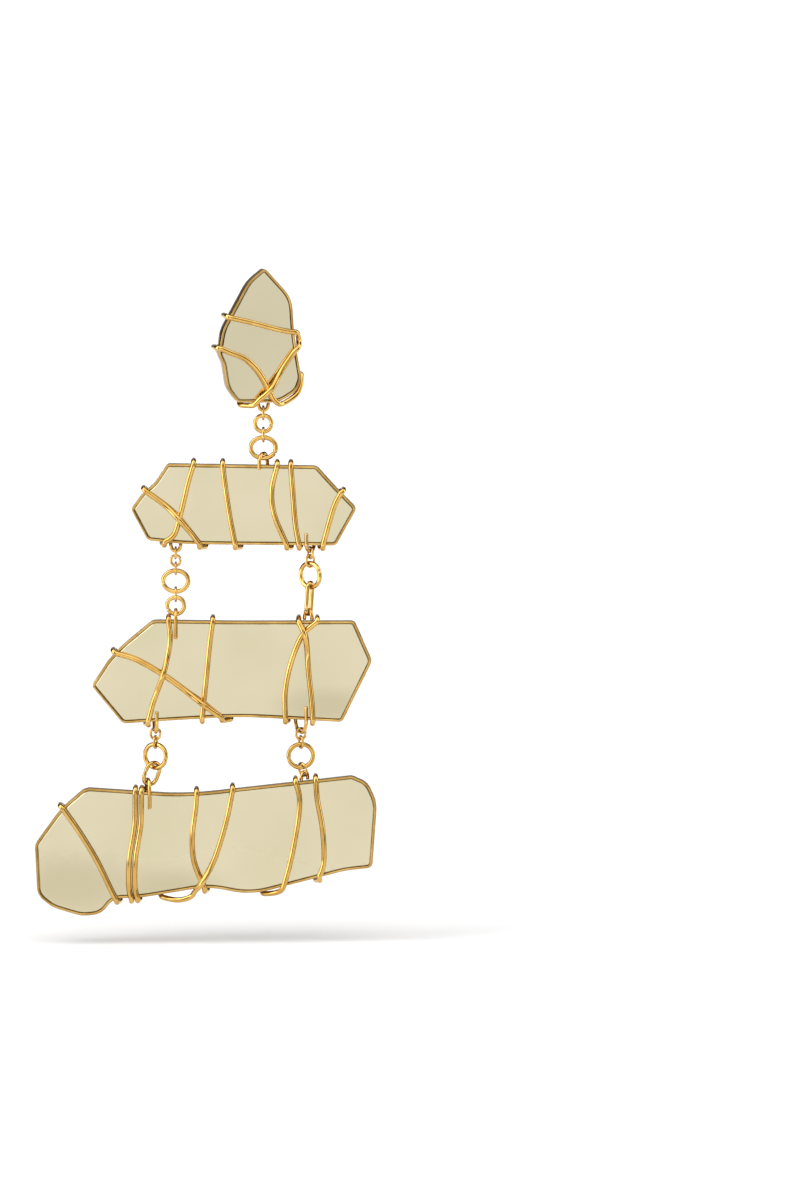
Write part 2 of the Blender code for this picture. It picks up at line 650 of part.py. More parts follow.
post_profile = (
    (-PAD_THICKNESS, PAD_DIAMETER / 2),
    (0.0, PAD_DIAMETER / 2),
    (0.0, POST_DIAMETER / 2),
    (POST_LENGTH - POST_TIP, POST_DIAMETER / 2),
    (POST_LENGTH, POST_DIAMETER / 4),
)
put("ear_post", stacked("ear_post", turned(post_profile)), POST_GOLD, "top", (0.0, 0.0, 0.0), TURN)

# The staple under the top plaque isn't turned: its loop faces the front, on the line of the chain.
TIER_1["centre"] = straight_centre
loop_x, loop_z = upper_loop("a", TIER_1)
staple_piece("a_upper", TIER_1, -1, loop_z - straight_centre[2], "top")

# Chain A: its first ring swings to front and back, and all that hangs from it swings sideways too.
first_wire = CHAIN_A[0]["wire"]
ring_foot = loop_z + hung_on(STAPLE_WIRE, first_wire) - (link_size(CHAIN_A, 0)[1] - first_wire)
body("drop_ring", (loop_x, PLAQUE_Y, loop_z), "top")
body("drop", (loop_x, PLAQUE_Y, ring_foot), "drop_ring")
end_x, end_z, end_wire = chain("a", CHAIN_A, ("drop_ring", "drop", "drop", "drop"), loop_x, loop_z)
staple_x, staple_z = lower_loop("a", TIER_2, CHAIN_A)
staple_top = end_z + hung_on(end_wire, STAPLE_WIRE)
TIER_2["centre"] = (end_x - staple_x, PLAQUE_Y, staple_top - staple_z)
staple_piece("a_lower", TIER_2, 1, staple_z, "drop")
plaque(TIER_2, "drop")
wound_pieces(TIER_2, "drop", (("tier_2_wire", TIER_2_PASSES, ((1, 0),)),))

# Chains B and C: B sets how low tier 3 hangs, and C's last link closes on it.
b_x, b_z = upper_loop("b", TIER_2)
c_x, c_z = upper_loop("c", TIER_2)
body("tier_3", (b_x, PLAQUE_Y, b_z), "drop")
for name, loop in (("b_upper", b_z), ("c_upper", c_z)):
    staple_piece(name, TIER_2, -1, loop - TIER_2["centre"][2], "drop")
end_x, end_z, end_wire = chain("b", CHAIN_B, ("tier_3",) * 6, b_x, b_z)
staple_x, staple_z = lower_loop("b", TIER_3, CHAIN_B)
TIER_3["centre"] = (end_x - staple_x, PLAQUE_Y, end_z + hung_on(end_wire, STAPLE_WIRE) - staple_z)
c_foot_x, c_staple_z = lower_loop("c", TIER_3, CHAIN_C)
c_foot_z = c_staple_z - hung_on(CHAIN_C[-1]["wire"], STAPLE_WIRE)
c_foot = (TIER_3["centre"][0] + c_foot_x, TIER_3["centre"][2] + c_foot_z)
chain("c", CHAIN_C, ("tier_3",) * 4, c_x, c_z, c_foot)
staple_piece("b_lower", TIER_3, 1, staple_z, "tier_3")
staple_piece("c_lower", TIER_3, 1, c_staple_z, "tier_3")
plaque(TIER_3, "tier_3")
tier_3_lengths = (
    ("tier_3_wire_left", TIER_3_LEFT_PASSES, ((2, 0), (0, 1))),
    ("tier_3_wire_right", TIER_3_RIGHT_PASSES, ((1, 0),)),
)
wound_pieces(TIER_3, "tier_3", tier_3_lengths)

# Chains D and E: D's last link has its own length and leans, and E's closes on the plaque.
d_x, d_z = upper_loop("d", TIER_3)
e_x, e_z = upper_loop("e", TIER_3)
body("tier_4", (d_x, PLAQUE_Y, d_z + hung_on(STAPLE_WIRE, CHAIN_D[0]["wire"])), "tier_3")
for name, loop in (("d_upper", d_z), ("e_upper", e_z)):
    staple_piece(name, TIER_3, -1, loop - TIER_3["centre"][2], "tier_3")
above_z, above_wire = d_z, STAPLE_WIRE
for index, spec in enumerate(CHAIN_D[:-1]):
    above_z += hung_on(above_wire, spec["wire"]) - (link_size(CHAIN_D, index)[1] - spec["wire"])
    above_wire = spec["wire"]
last_wire = CHAIN_D[-1]["wire"]
last_run = link_size(CHAIN_D, len(CHAIN_D) - 1)[1] - last_wire
d_foot_z = above_z + hung_on(above_wire, last_wire) - math.sqrt(last_run**2 - CHAIN_D_LEAN**2)
chain("d", CHAIN_D, ("tier_4",) * 4, d_x, d_z, (d_x - CHAIN_D_LEAN, d_foot_z))
staple_x, staple_z = lower_loop("d", TIER_4, CHAIN_D)
TIER_4["centre"] = (
    d_x - CHAIN_D_LEAN - staple_x,
    PLAQUE_Y,
    d_foot_z + hung_on(last_wire, STAPLE_WIRE) - staple_z,
)
e_foot_x, e_staple_z = lower_loop("e", TIER_4, CHAIN_E)
e_foot_z = e_staple_z - hung_on(CHAIN_E[-1]["wire"], STAPLE_WIRE)
e_foot = (TIER_4["centre"][0] + e_foot_x, TIER_4["centre"][2] + e_foot_z)
chain("e", CHAIN_E, ("tier_4",) * 4, e_x, e_z, e_foot)
staple_piece("d_lower", TIER_4, 1, staple_z, "tier_4")
staple_piece("e_lower", TIER_4, 1, e_staple_z, "tier_4")
plaque(TIER_4, "tier_4")
tier_4_lengths = (
    ("tier_4_wire_left", TIER_4_LEFT_PASSES, ((4, 3),)),
    ("tier_4_wire_right", TIER_4_RIGHT_PASSES, ()),
)
wound_pieces(TIER_4, "tier_4", tier_4_lengths)
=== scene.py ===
"""The looks of a chandelier earring: four champagne mirrors in shallow gold trays, wound with gold wire and
hung one under the other on short chains of jump rings.

Metres, +Z up, the mirrors face -Y. The origin is the root of the ear post, behind the top plaque. Each tier
is drawn about its own centre, as seen from the front: x to the right, z up.
"""

import math

import bmesh
import bpy
import numpy as np
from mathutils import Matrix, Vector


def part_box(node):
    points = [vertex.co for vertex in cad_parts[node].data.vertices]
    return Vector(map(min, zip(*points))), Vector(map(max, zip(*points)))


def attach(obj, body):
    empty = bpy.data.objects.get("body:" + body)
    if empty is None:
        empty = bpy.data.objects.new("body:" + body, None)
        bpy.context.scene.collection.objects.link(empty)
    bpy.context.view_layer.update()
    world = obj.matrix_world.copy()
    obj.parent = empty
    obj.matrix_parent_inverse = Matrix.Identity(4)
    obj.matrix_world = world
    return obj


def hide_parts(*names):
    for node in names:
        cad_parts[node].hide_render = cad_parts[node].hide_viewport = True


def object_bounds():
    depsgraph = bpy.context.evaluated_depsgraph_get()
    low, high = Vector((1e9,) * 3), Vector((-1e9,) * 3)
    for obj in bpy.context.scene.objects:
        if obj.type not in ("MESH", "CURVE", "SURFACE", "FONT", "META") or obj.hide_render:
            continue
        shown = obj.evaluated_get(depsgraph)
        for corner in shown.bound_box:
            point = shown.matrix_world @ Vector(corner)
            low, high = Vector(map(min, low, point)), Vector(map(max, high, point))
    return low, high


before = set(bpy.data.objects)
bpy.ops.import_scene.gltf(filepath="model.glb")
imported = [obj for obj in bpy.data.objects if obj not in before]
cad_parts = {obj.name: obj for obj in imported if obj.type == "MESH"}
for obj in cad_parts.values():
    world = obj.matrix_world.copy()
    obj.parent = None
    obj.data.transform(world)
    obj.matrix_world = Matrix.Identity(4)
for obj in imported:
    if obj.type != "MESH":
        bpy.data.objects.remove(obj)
cad_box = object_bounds()

# Trays. Each plaque is carried by a shallow pan of gold-plated brass sheet, pressed to an uneven outline,
# with its wall turned up to a thin rounded rim. The back is plain and lightly brushed.
TRAY_DEPTH = 0.0022
RIM_WIDTH = 0.00045
RIM_ROUND = 0.0002
BACK_ROUND = 0.00025
POCKET_FLOOR = 0.0003
CORNER_POINTS = 9
ARC_POINTS = 6
MM_PER_METRE = 1000
TIERS = {
    "tier_1": {
        "width": 0.0156, "height": 0.0245, "turn": math.radians(16), "body": "top",
        "corners": (
            (0.059, 0.522, 0.18), (0.392, 0.291, 0.30), (0.421, 0.000, 0.40), (0.508, -0.317, 0.30),
            (0.451, -0.416, 0.45), (0.226, -0.499, 0.40), (-0.273, -0.491, 0.25), (-0.404, -0.385, 0.40),
            (-0.451, -0.197, 0.30), (-0.510, -0.121, 0.45), (-0.463, 0.060, 0.40), (-0.356, 0.181, 0.30),
            (-0.142, 0.423, 0.40),
        ),
    },
    "tier_2": {
        "width": 0.0413, "height": 0.0151, "turn": 0.0, "body": "drop",
        "corners": (
            (-0.343, 0.504, 0.12), (0.039, 0.488, 0.30), (0.326, 0.477, 0.15), (0.406, 0.234, 0.30),
            (0.505, -0.042, 0.15), (0.411, -0.502, 0.10), (-0.051, -0.492, 0.20), (-0.271, -0.483, 0.30),
            (-0.432, -0.438, 0.12), (-0.506, -0.054, 0.15), (-0.459, 0.130, 0.40), (-0.401, 0.265, 0.30),
        ),
    },
    "tier_3": {
        "width": 0.0515, "height": 0.0191, "turn": 0.0, "body": "tier_3",
        "corners": (
            (-0.286, 0.502, 0.12), (0.012, 0.491, 0.30), (0.440, 0.493, 0.10), (0.503, 0.105, 0.10),
            (0.395, -0.492, 0.10), (0.249, -0.470, 0.30), (0.019, -0.438, 0.40), (-0.243, -0.480, 0.30),
            (-0.394, -0.506, 0.10), (-0.506, -0.138, 0.12), (-0.448, 0.105, 0.30), (-0.394, 0.260, 0.30),
        ),
    },
    "tier_4": {
        "width": 0.0632, "height": 0.0257, "turn": 0.0, "body": "tier_4",
        "corners": (
            (-0.352, 0.423, 0.20), (-0.059, 0.374, 0.30), (0.430, 0.509, 0.10), (0.477, 0.459, 0.40),
            (0.504, 0.314, 0.40), (0.490, -0.157, 0.20), (0.410, -0.179, 0.30), (0.331, -0.229, 0.40),
            (0.132, -0.356, 0.45), (0.008, -0.294, 0.40), (-0.191, -0.376, 0.40), (-0.270, -0.381, 0.45),
            (-0.305, -0.492, 0.40), (-0.361, -0.510, 0.40), (-0.449, -0.446, 0.40), (-0.493, -0.356, 0.40),
            (-0.500, 0.012, 0.10), (-0.425, 0.268, 0.40),
        ),
    },
}


def outline(tier, inset=0.0):
    """The plaque's outline as (x, z) points, clockwise from the top left, moved inwards by inset.

    Each corner is a parabola, (1-t)^2 start + 2t(1-t) corner + t^2 end, between two points on its sides.
    Moving inwards takes inset * tan(half the turn) off the distance to those points.
    """
    table = np.array(tier["corners"])
    corners = table[:, :2] * (tier["width"], tier["height"])
    ahead = np.roll(corners, -1, axis=0) - corners
    lengths = np.linalg.norm(ahead, axis=1)
    ahead = ahead / lengths[:, None]
    back = np.roll(ahead, 1, axis=0)
    outward = np.column_stack([-ahead[:, 1], ahead[:, 0]])
    outward_back = np.roll(outward, 1, axis=0)
    bend = np.arctan2(back[:, 1] * ahead[:, 0] - back[:, 0] * ahead[:, 1], (back * ahead).sum(axis=1))
    both = outward + outward_back
    moved = corners - inset * both / (1 + (outward * outward_back).sum(axis=1))[:, None]
    reach = table[:, 2] * np.minimum(lengths, np.roll(lengths, 1)) - inset * np.tan(bend / 2)
    start, end = moved - back * reach[:, None], moved + ahead * reach[:, None]
    t = np.linspace(0, 1, CORNER_POINTS)[None, :, None]
    curve = (1 - t) ** 2 * start[:, None] + 2 * t * (1 - t) * moved[:, None] + t**2 * end[:, None]
    return curve.reshape(-1, 2)


def turned(points, angle):
    """Points turned about the upright axis: x cos - y sin, x sin + y cos, z."""
    x, y, z = np.moveaxis(np.asarray(points, float), -1, 0)
    cos, sin = math.cos(angle), math.sin(angle)
    return np.stack([x * cos - y * sin, x * sin + y * cos, z], axis=-1)


# A tier's centre is the middle of its tray's box, less the middle of its own outline.
for name, tier in TIERS.items():
    low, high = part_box(f"{name}_tray")
    edge = outline(tier)
    middle_x, middle_z = (edge.min(axis=0) + edge.max(axis=0)) / 2
    tier["centre"] = np.array((low + high) / 2) - turned((middle_x, 0.0, middle_z), tier["turn"])


def surface(name, grid):
    """A mesh over a grid of points, with rows along the piece and columns round it.

    Each row closes on itself, and one flat face covers each end row. The UV map has the share of the way
    round as u and the distance along, in millimetres, as v.
    """
    rows, columns = grid.shape[:2]
    index = np.arange(rows * columns).reshape(rows, columns)
    steps = np.linalg.norm(np.diff(grid.mean(axis=1), axis=0), axis=1)
    along = np.concatenate([[0.0], np.cumsum(steps)]) * MM_PER_METRE
    low, high = index[:-1], index[1:]
    next_low, next_high = np.roll(low, -1, axis=1), np.roll(high, -1, axis=1)
    quads = np.stack([low, next_low, next_high, high], axis=-1).reshape(-1, 4)
    u = np.broadcast_to(np.arange(columns) / columns, low.shape)
    v_low, v_high = (np.broadcast_to(v[:, None], low.shape) for v in (along[:-1], along[1:]))
    corner_u = np.stack([u, u + 1 / columns, u + 1 / columns, u], axis=-1)
    corner_v = np.stack([v_low, v_low, v_high, v_high], axis=-1)
    uv = np.stack([corner_u, corner_v], axis=-1).reshape(-1, 2)
    uv = np.vstack([uv, np.tile([0.5, along[0]], (columns, 1)), np.tile([0.5, along[-1]], (columns, 1))])
    faces = [*quads.tolist(), index[0, ::-1].tolist(), index[-1].tolist()]
    mesh = bpy.data.meshes.new(name)
    mesh.from_pydata(grid.reshape(-1, 3), [], faces)
    mesh.uv_layers.new(name="UVMap").data.foreach_set("uv", uv.ravel())
    work = bmesh.new()
    work.from_mesh(mesh)
    bmesh.ops.recalc_face_normals(work, faces=work.faces)
    work.to_mesh(mesh)
    work.free()
    mesh.shade_smooth()
    mesh.polygons[-2].use_smooth = mesh.polygons[-1].use_smooth = False
    return mesh


def fit_out(mesh, material, body, node, crease=None):
    """Puts a finished mesh in the scene in place of a CAD node, with its material, riding on its body."""
    piece = bpy.data.objects.new(f"{node}_dressed", mesh)
    bpy.context.scene.collection.objects.link(piece)
    if crease:
        mesh.set_sharp_from_angle(angle=math.radians(crease))
    mesh.materials.append(material)
    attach(piece, body)
    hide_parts(node)


def shader_node(tree, kind, settings=None, **sockets):
    """Adds a shader node. A socket takes a value or a link from another node's output.

    Sockets go by their names, or by their numbers as i0, i1 and so on.
    """
    node = tree.nodes.new(kind)
    for key, value in (settings or {}).items():
        setattr(node, key, value)
    for key, value in sockets.items():
        numbered = key[0] == "i" and key[1:].isdigit()
        socket = node.inputs[int(key[1:]) if numbered else key.replace("_", " ")]
        if isinstance(value, bpy.types.NodeSocket):
            tree.links.new(value, socket)
        else:
            socket.default_value = value
    return node


GOLD_COAT = 0.35
GOLD_COAT_ROUGHNESS = 0.06
CLOUD_SCALE = 260.0
CLOUD_SPAN = (0.35, 0.65)
FINE_SPAN = (0.3, 0.7)
LINES_ROUND_AND_ALONG = (14.0, 0.25, 1.0)


def gold(name, light, deep, roughness, fine_scale, grain, lines=0.0):
    """Plated gold: its colour drifts between light and deep in soft clouds, and its gloss in a fine grain.

    grain is the height of that grain, and lines that of drawing lines that run along a wire.
    """
    material = bpy.data.materials.new(name)
    material.use_nodes = True
    tree = material.node_tree
    shader = tree.nodes["Principled BSDF"]
    place = shader_node(tree, "ShaderNodeTexCoord").outputs
    spot = place["Object"]
    clouds = shader_node(tree, "ShaderNodeTexNoise", None, Vector=spot, Scale=CLOUD_SCALE, Detail=3.0)
    fine = shader_node(tree, "ShaderNodeTexNoise", None, Vector=spot, Scale=fine_scale, Detail=4.0)
    ramp = shader_node(
        tree, "ShaderNodeMapRange", None, Value=clouds.outputs["Fac"], i1=CLOUD_SPAN[0], i2=CLOUD_SPAN[1]
    )
    colour = shader_node(tree, "ShaderNodeMix", {"data_type": "RGBA"}, i0=ramp.outputs["Result"])
    colour.inputs[6].default_value = (*light, 1.0)
    colour.inputs[7].default_value = (*deep, 1.0)
    gloss = shader_node(
        tree, "ShaderNodeMapRange", None, Value=fine.outputs["Fac"], i1=FINE_SPAN[0], i2=FINE_SPAN[1]
    )
    gloss.inputs["To Min"].default_value, gloss.inputs["To Max"].default_value = roughness
    bump = shader_node(
        tree, "ShaderNodeBump", None, Height=fine.outputs["Fac"], Distance=grain, Strength=1.0
    )
    normal = bump.outputs["Normal"]
    if lines:
        stretched = shader_node(
            tree, "ShaderNodeMapping", None, Vector=place["UV"], Scale=LINES_ROUND_AND_ALONG
        )
        drawn = shader_node(
            tree, "ShaderNodeTexNoise", None, Vector=stretched.outputs[0], Scale=1.0, Detail=2.0
        )
        lined = shader_node(
            tree, "ShaderNodeBump", None,
            Height=drawn.outputs["Fac"], Distance=lines, Strength=1.0, Normal=normal,
        )
        normal = lined.outputs["Normal"]
    tree.links.new(colour.outputs[2], shader.inputs["Base Color"])
    tree.links.new(gloss.outputs["Result"], shader.inputs["Roughness"])
    tree.links.new(normal, shader.inputs["Normal"])
    shader.inputs["Metallic"].default_value = 1.0
    shader.inputs["Coat Weight"].default_value = GOLD_COAT
    shader.inputs["Coat Roughness"].default_value = GOLD_COAT_ROUGHNESS
    return material


tray_gold = gold(
    "tray_gold", light=(0.60, 0.39, 0.13), deep=(0.44, 0.27, 0.07), roughness=(0.08, 0.20),
    fine_scale=5200.0, grain=0.000001,
)

# Painted shade: the outside of the rim and the wall are coloured darker than the plating, standing in for
# the dark reflections of the room. v, the millimetres along the section, tells where they start and end,
# each with the stretch over which the colour changes.
WALL_STARTS = (1.40, 1.53)
WALL_ENDS = (3.30, 3.55)
WALL_PAINTED_SHADE = (0.25, 0.125, 0.022)
WALL_SHADE_STRENGTH = 0.8
TRAY_COAT = 0.1
tree = tray_gold.node_tree
plating = tree.nodes["Principled BSDF"]
place = shader_node(tree, "ShaderNodeTexCoord").outputs
way = shader_node(tree, "ShaderNodeSeparateXYZ", None, Vector=place["UV"]).outputs["Y"]
past_start, past_end = (
    shader_node(
        tree, "ShaderNodeMapRange", {"interpolation_type": "SMOOTHSTEP"}, Value=way, i1=span[0], i2=span[1]
    ).outputs["Result"]
    for span in (WALL_STARTS, WALL_ENDS)
)
wall = shader_node(tree, "ShaderNodeMath", {"operation": "SUBTRACT"}, i0=past_start, i1=past_end)
share = shader_node(tree, "ShaderNodeMath", {"operation": "MULTIPLY"}, i0=wall.outputs[0], i1=WALL_SHADE_STRENGTH)
bare = plating.inputs["Base Color"].links[0].from_socket
# Painted shade: along the wall the plating's colour is mixed towards a dark brown.
painted_wall_shade = shader_node(tree, "ShaderNodeMix", {"data_type": "RGBA"}, i0=share.outputs[0], i6=bare)
painted_wall_shade.inputs[7].default_value = (*WALL_PAINTED_SHADE, 1.0)
tree.links.new(painted_wall_shade.outputs[2], plating.inputs["Base Color"])
plating.inputs["Coat Weight"].default_value = TRAY_COAT


def quarter(centre_inset, centre_y, radius, first, last):
    """An arc of the tray's section as (inset, y) pairs, from one angle to another."""
    angle = np.radians(np.linspace(first, last, ARC_POINTS))
    return np.column_stack([centre_inset - radius * np.cos(angle), centre_y + radius * np.sin(angle)])


for name, tier in TIERS.items():
    half = TRAY_DEPTH / 2
    section = np.vstack([
        [(RIM_WIDTH, POCKET_FLOOR)],
        quarter(RIM_WIDTH - RIM_ROUND, RIM_ROUND - half, RIM_ROUND, 180, 270),
        quarter(RIM_ROUND, RIM_ROUND - half, RIM_ROUND, 270, 360),
        quarter(BACK_ROUND, half - BACK_ROUND, BACK_ROUND, 0, 90),
    ])
    flats = np.stack([outline(tier, inset) for inset, _ in section])
    depth = np.broadcast_to(section[:, 1, None], flats.shape[:2])
    grid = turned(np.stack([flats[..., 0], depth, flats[..., 1]], axis=-1), tier["turn"]) + tier["centre"]
    fit_out(surface(name, grid), tray_gold, tier["body"], f"{name}_tray", crease=35)

# Mirrors. A flat glass mirror with a champagne-gold back coat fills each tray to just under the rim. Its
# front edge is ground to a narrow bevel, which shows as a darker green-grey line beside the rim. A few soft
# patches on the two lowest mirrors are painted darker: painted reflections of shade.
MIRROR_THICKNESS = 0.0012
MIRROR_RECESS = 0.0001
MIRROR_GAP = 0.0001
BEVEL_WIDTH = 0.00012
BEVEL_DEPTH = 0.00008
MIRROR_LIGHT = (0.662, 0.597, 0.420)
MIRROR_DEEP = (0.622, 0.564, 0.383)
MIRROR_PAINTED_SHADE = (0.545, 0.488, 0.325)
MIRROR_ROUGHNESS = (0.02, 0.075)
SWELL_HEIGHT = 0.0003
HAZE_SCALE, SMEAR_SCALE, SWELL_SCALE = 70.0, 420.0, 45.0
HAZE_SPAN, SMEAR_SPAN = (0.3, 0.7), (0.4, 0.8)
FULL_SHADE_RADIUS = 0.2
PAINTED_SHADE_PATCHES = (
    {"x": -0.0350, "z": -0.1050, "across": 0.0170, "up": 0.0085},
    {"x": 0.0119, "z": -0.0717, "across": 0.0130, "up": 0.0048},
    {"x": -0.0170, "z": -0.1060, "across": 0.0140, "up": 0.0060},
)

champagne = bpy.data.materials.new("champagne_mirror")
champagne.use_nodes = True
tree = champagne.node_tree
coating = tree.nodes["Principled BSDF"]
place = shader_node(tree, "ShaderNodeTexCoord").outputs
spot = place["Object"]
haze = shader_node(tree, "ShaderNodeTexNoise", None, Vector=spot, Scale=HAZE_SCALE, Detail=2.0)
tone = shader_node(
    tree, "ShaderNodeMapRange", None, Value=haze.outputs["Fac"], i1=HAZE_SPAN[0], i2=HAZE_SPAN[1]
)
tint = shader_node(tree, "ShaderNodeMix", {"data_type": "RGBA"}, i0=tone.outputs["Result"])
tint.inputs[6].default_value = (*MIRROR_LIGHT, 1.0)
tint.inputs[7].default_value = (*MIRROR_DEEP, 1.0)
coat = tint.outputs[2]
# Painted reflections of shade: each patch mixes the coat towards a darker tone, most at its middle.
for shade_patch in PAINTED_SHADE_PATCHES:
    moved = shader_node(
        tree, "ShaderNodeMapping", {"vector_type": "TEXTURE"}, Vector=spot,
        Location=(shade_patch["x"], 0.0, shade_patch["z"]), Scale=(shade_patch["across"], 1.0, shade_patch["up"]),
    )
    away = shader_node(tree, "ShaderNodeVectorMath", {"operation": "LENGTH"}, i0=moved.outputs["Vector"])
    fade = shader_node(
        tree, "ShaderNodeMapRange", {"interpolation_type": "SMOOTHSTEP"}, Value=away.outputs["Value"],
        i1=1.0, i2=FULL_SHADE_RADIUS, i3=0.0, i4=1.0,
    )
    painted_shade = shader_node(tree, "ShaderNodeMix", {"data_type": "RGBA"}, i0=fade.outputs["Result"], i6=coat)
    painted_shade.inputs[7].default_value = (*MIRROR_PAINTED_SHADE, 1.0)
    coat = painted_shade.outputs[2]
smears = shader_node(tree, "ShaderNodeTexNoise", None, Vector=spot, Scale=SMEAR_SCALE, Detail=5.0)
polish = shader_node(
    tree, "ShaderNodeMapRange", None, Value=smears.outputs["Fac"], i1=SMEAR_SPAN[0], i2=SMEAR_SPAN[1]
)
polish.inputs["To Min"].default_value, polish.inputs["To Max"].default_value = MIRROR_ROUGHNESS
swell = shader_node(tree, "ShaderNodeTexNoise", None, Vector=spot, Scale=SWELL_SCALE, Detail=0.0)
bow = shader_node(
    tree, "ShaderNodeBump", None, Height=swell.outputs["Fac"], Distance=SWELL_HEIGHT, Strength=1.0
)
tree.links.new(coat, coating.inputs["Base Color"])
tree.links.new(polish.outputs["Result"], coating.inputs["Roughness"])
tree.links.new(bow.outputs["Normal"], coating.inputs["Normal"])
coating.inputs["Metallic"].default_value = 1.0

glass_edge = gold(
    "mirror_edge", light=(0.46, 0.42, 0.27), deep=(0.32, 0.30, 0.18), roughness=(0.08, 0.20),
    fine_scale=3000.0, grain=0.000001,
)

for name, tier in TIERS.items():
    front = -TRAY_DEPTH / 2 + MIRROR_RECESS
    edge_inset = RIM_WIDTH + MIRROR_GAP
    section = np.array([
        (edge_inset, front + MIRROR_THICKNESS),
        (edge_inset, front + BEVEL_DEPTH),
        (edge_inset + BEVEL_WIDTH, front),
    ])
    flats = np.stack([outline(tier, inset) for inset, _ in section])
    depth = np.broadcast_to(section[:, 1, None], flats.shape[:2])
    grid = turned(np.stack([flats[..., 0], depth, flats[..., 1]], axis=-1), tier["turn"]) + tier["centre"]
    mesh = surface(name, grid)
    fit_out(mesh, champagne, tier["body"], f"{name}_mirror", crease=12)
    # The back, the sides and the bevel have the edge's material, and the last face is the front.
    mesh.materials.append(glass_edge)
    columns = grid.shape[1]
    slots = np.concatenate([np.ones(2 * columns), [1, 0]]).astype(np.int32)
    mesh.polygons.foreach_set("material_index", slots)

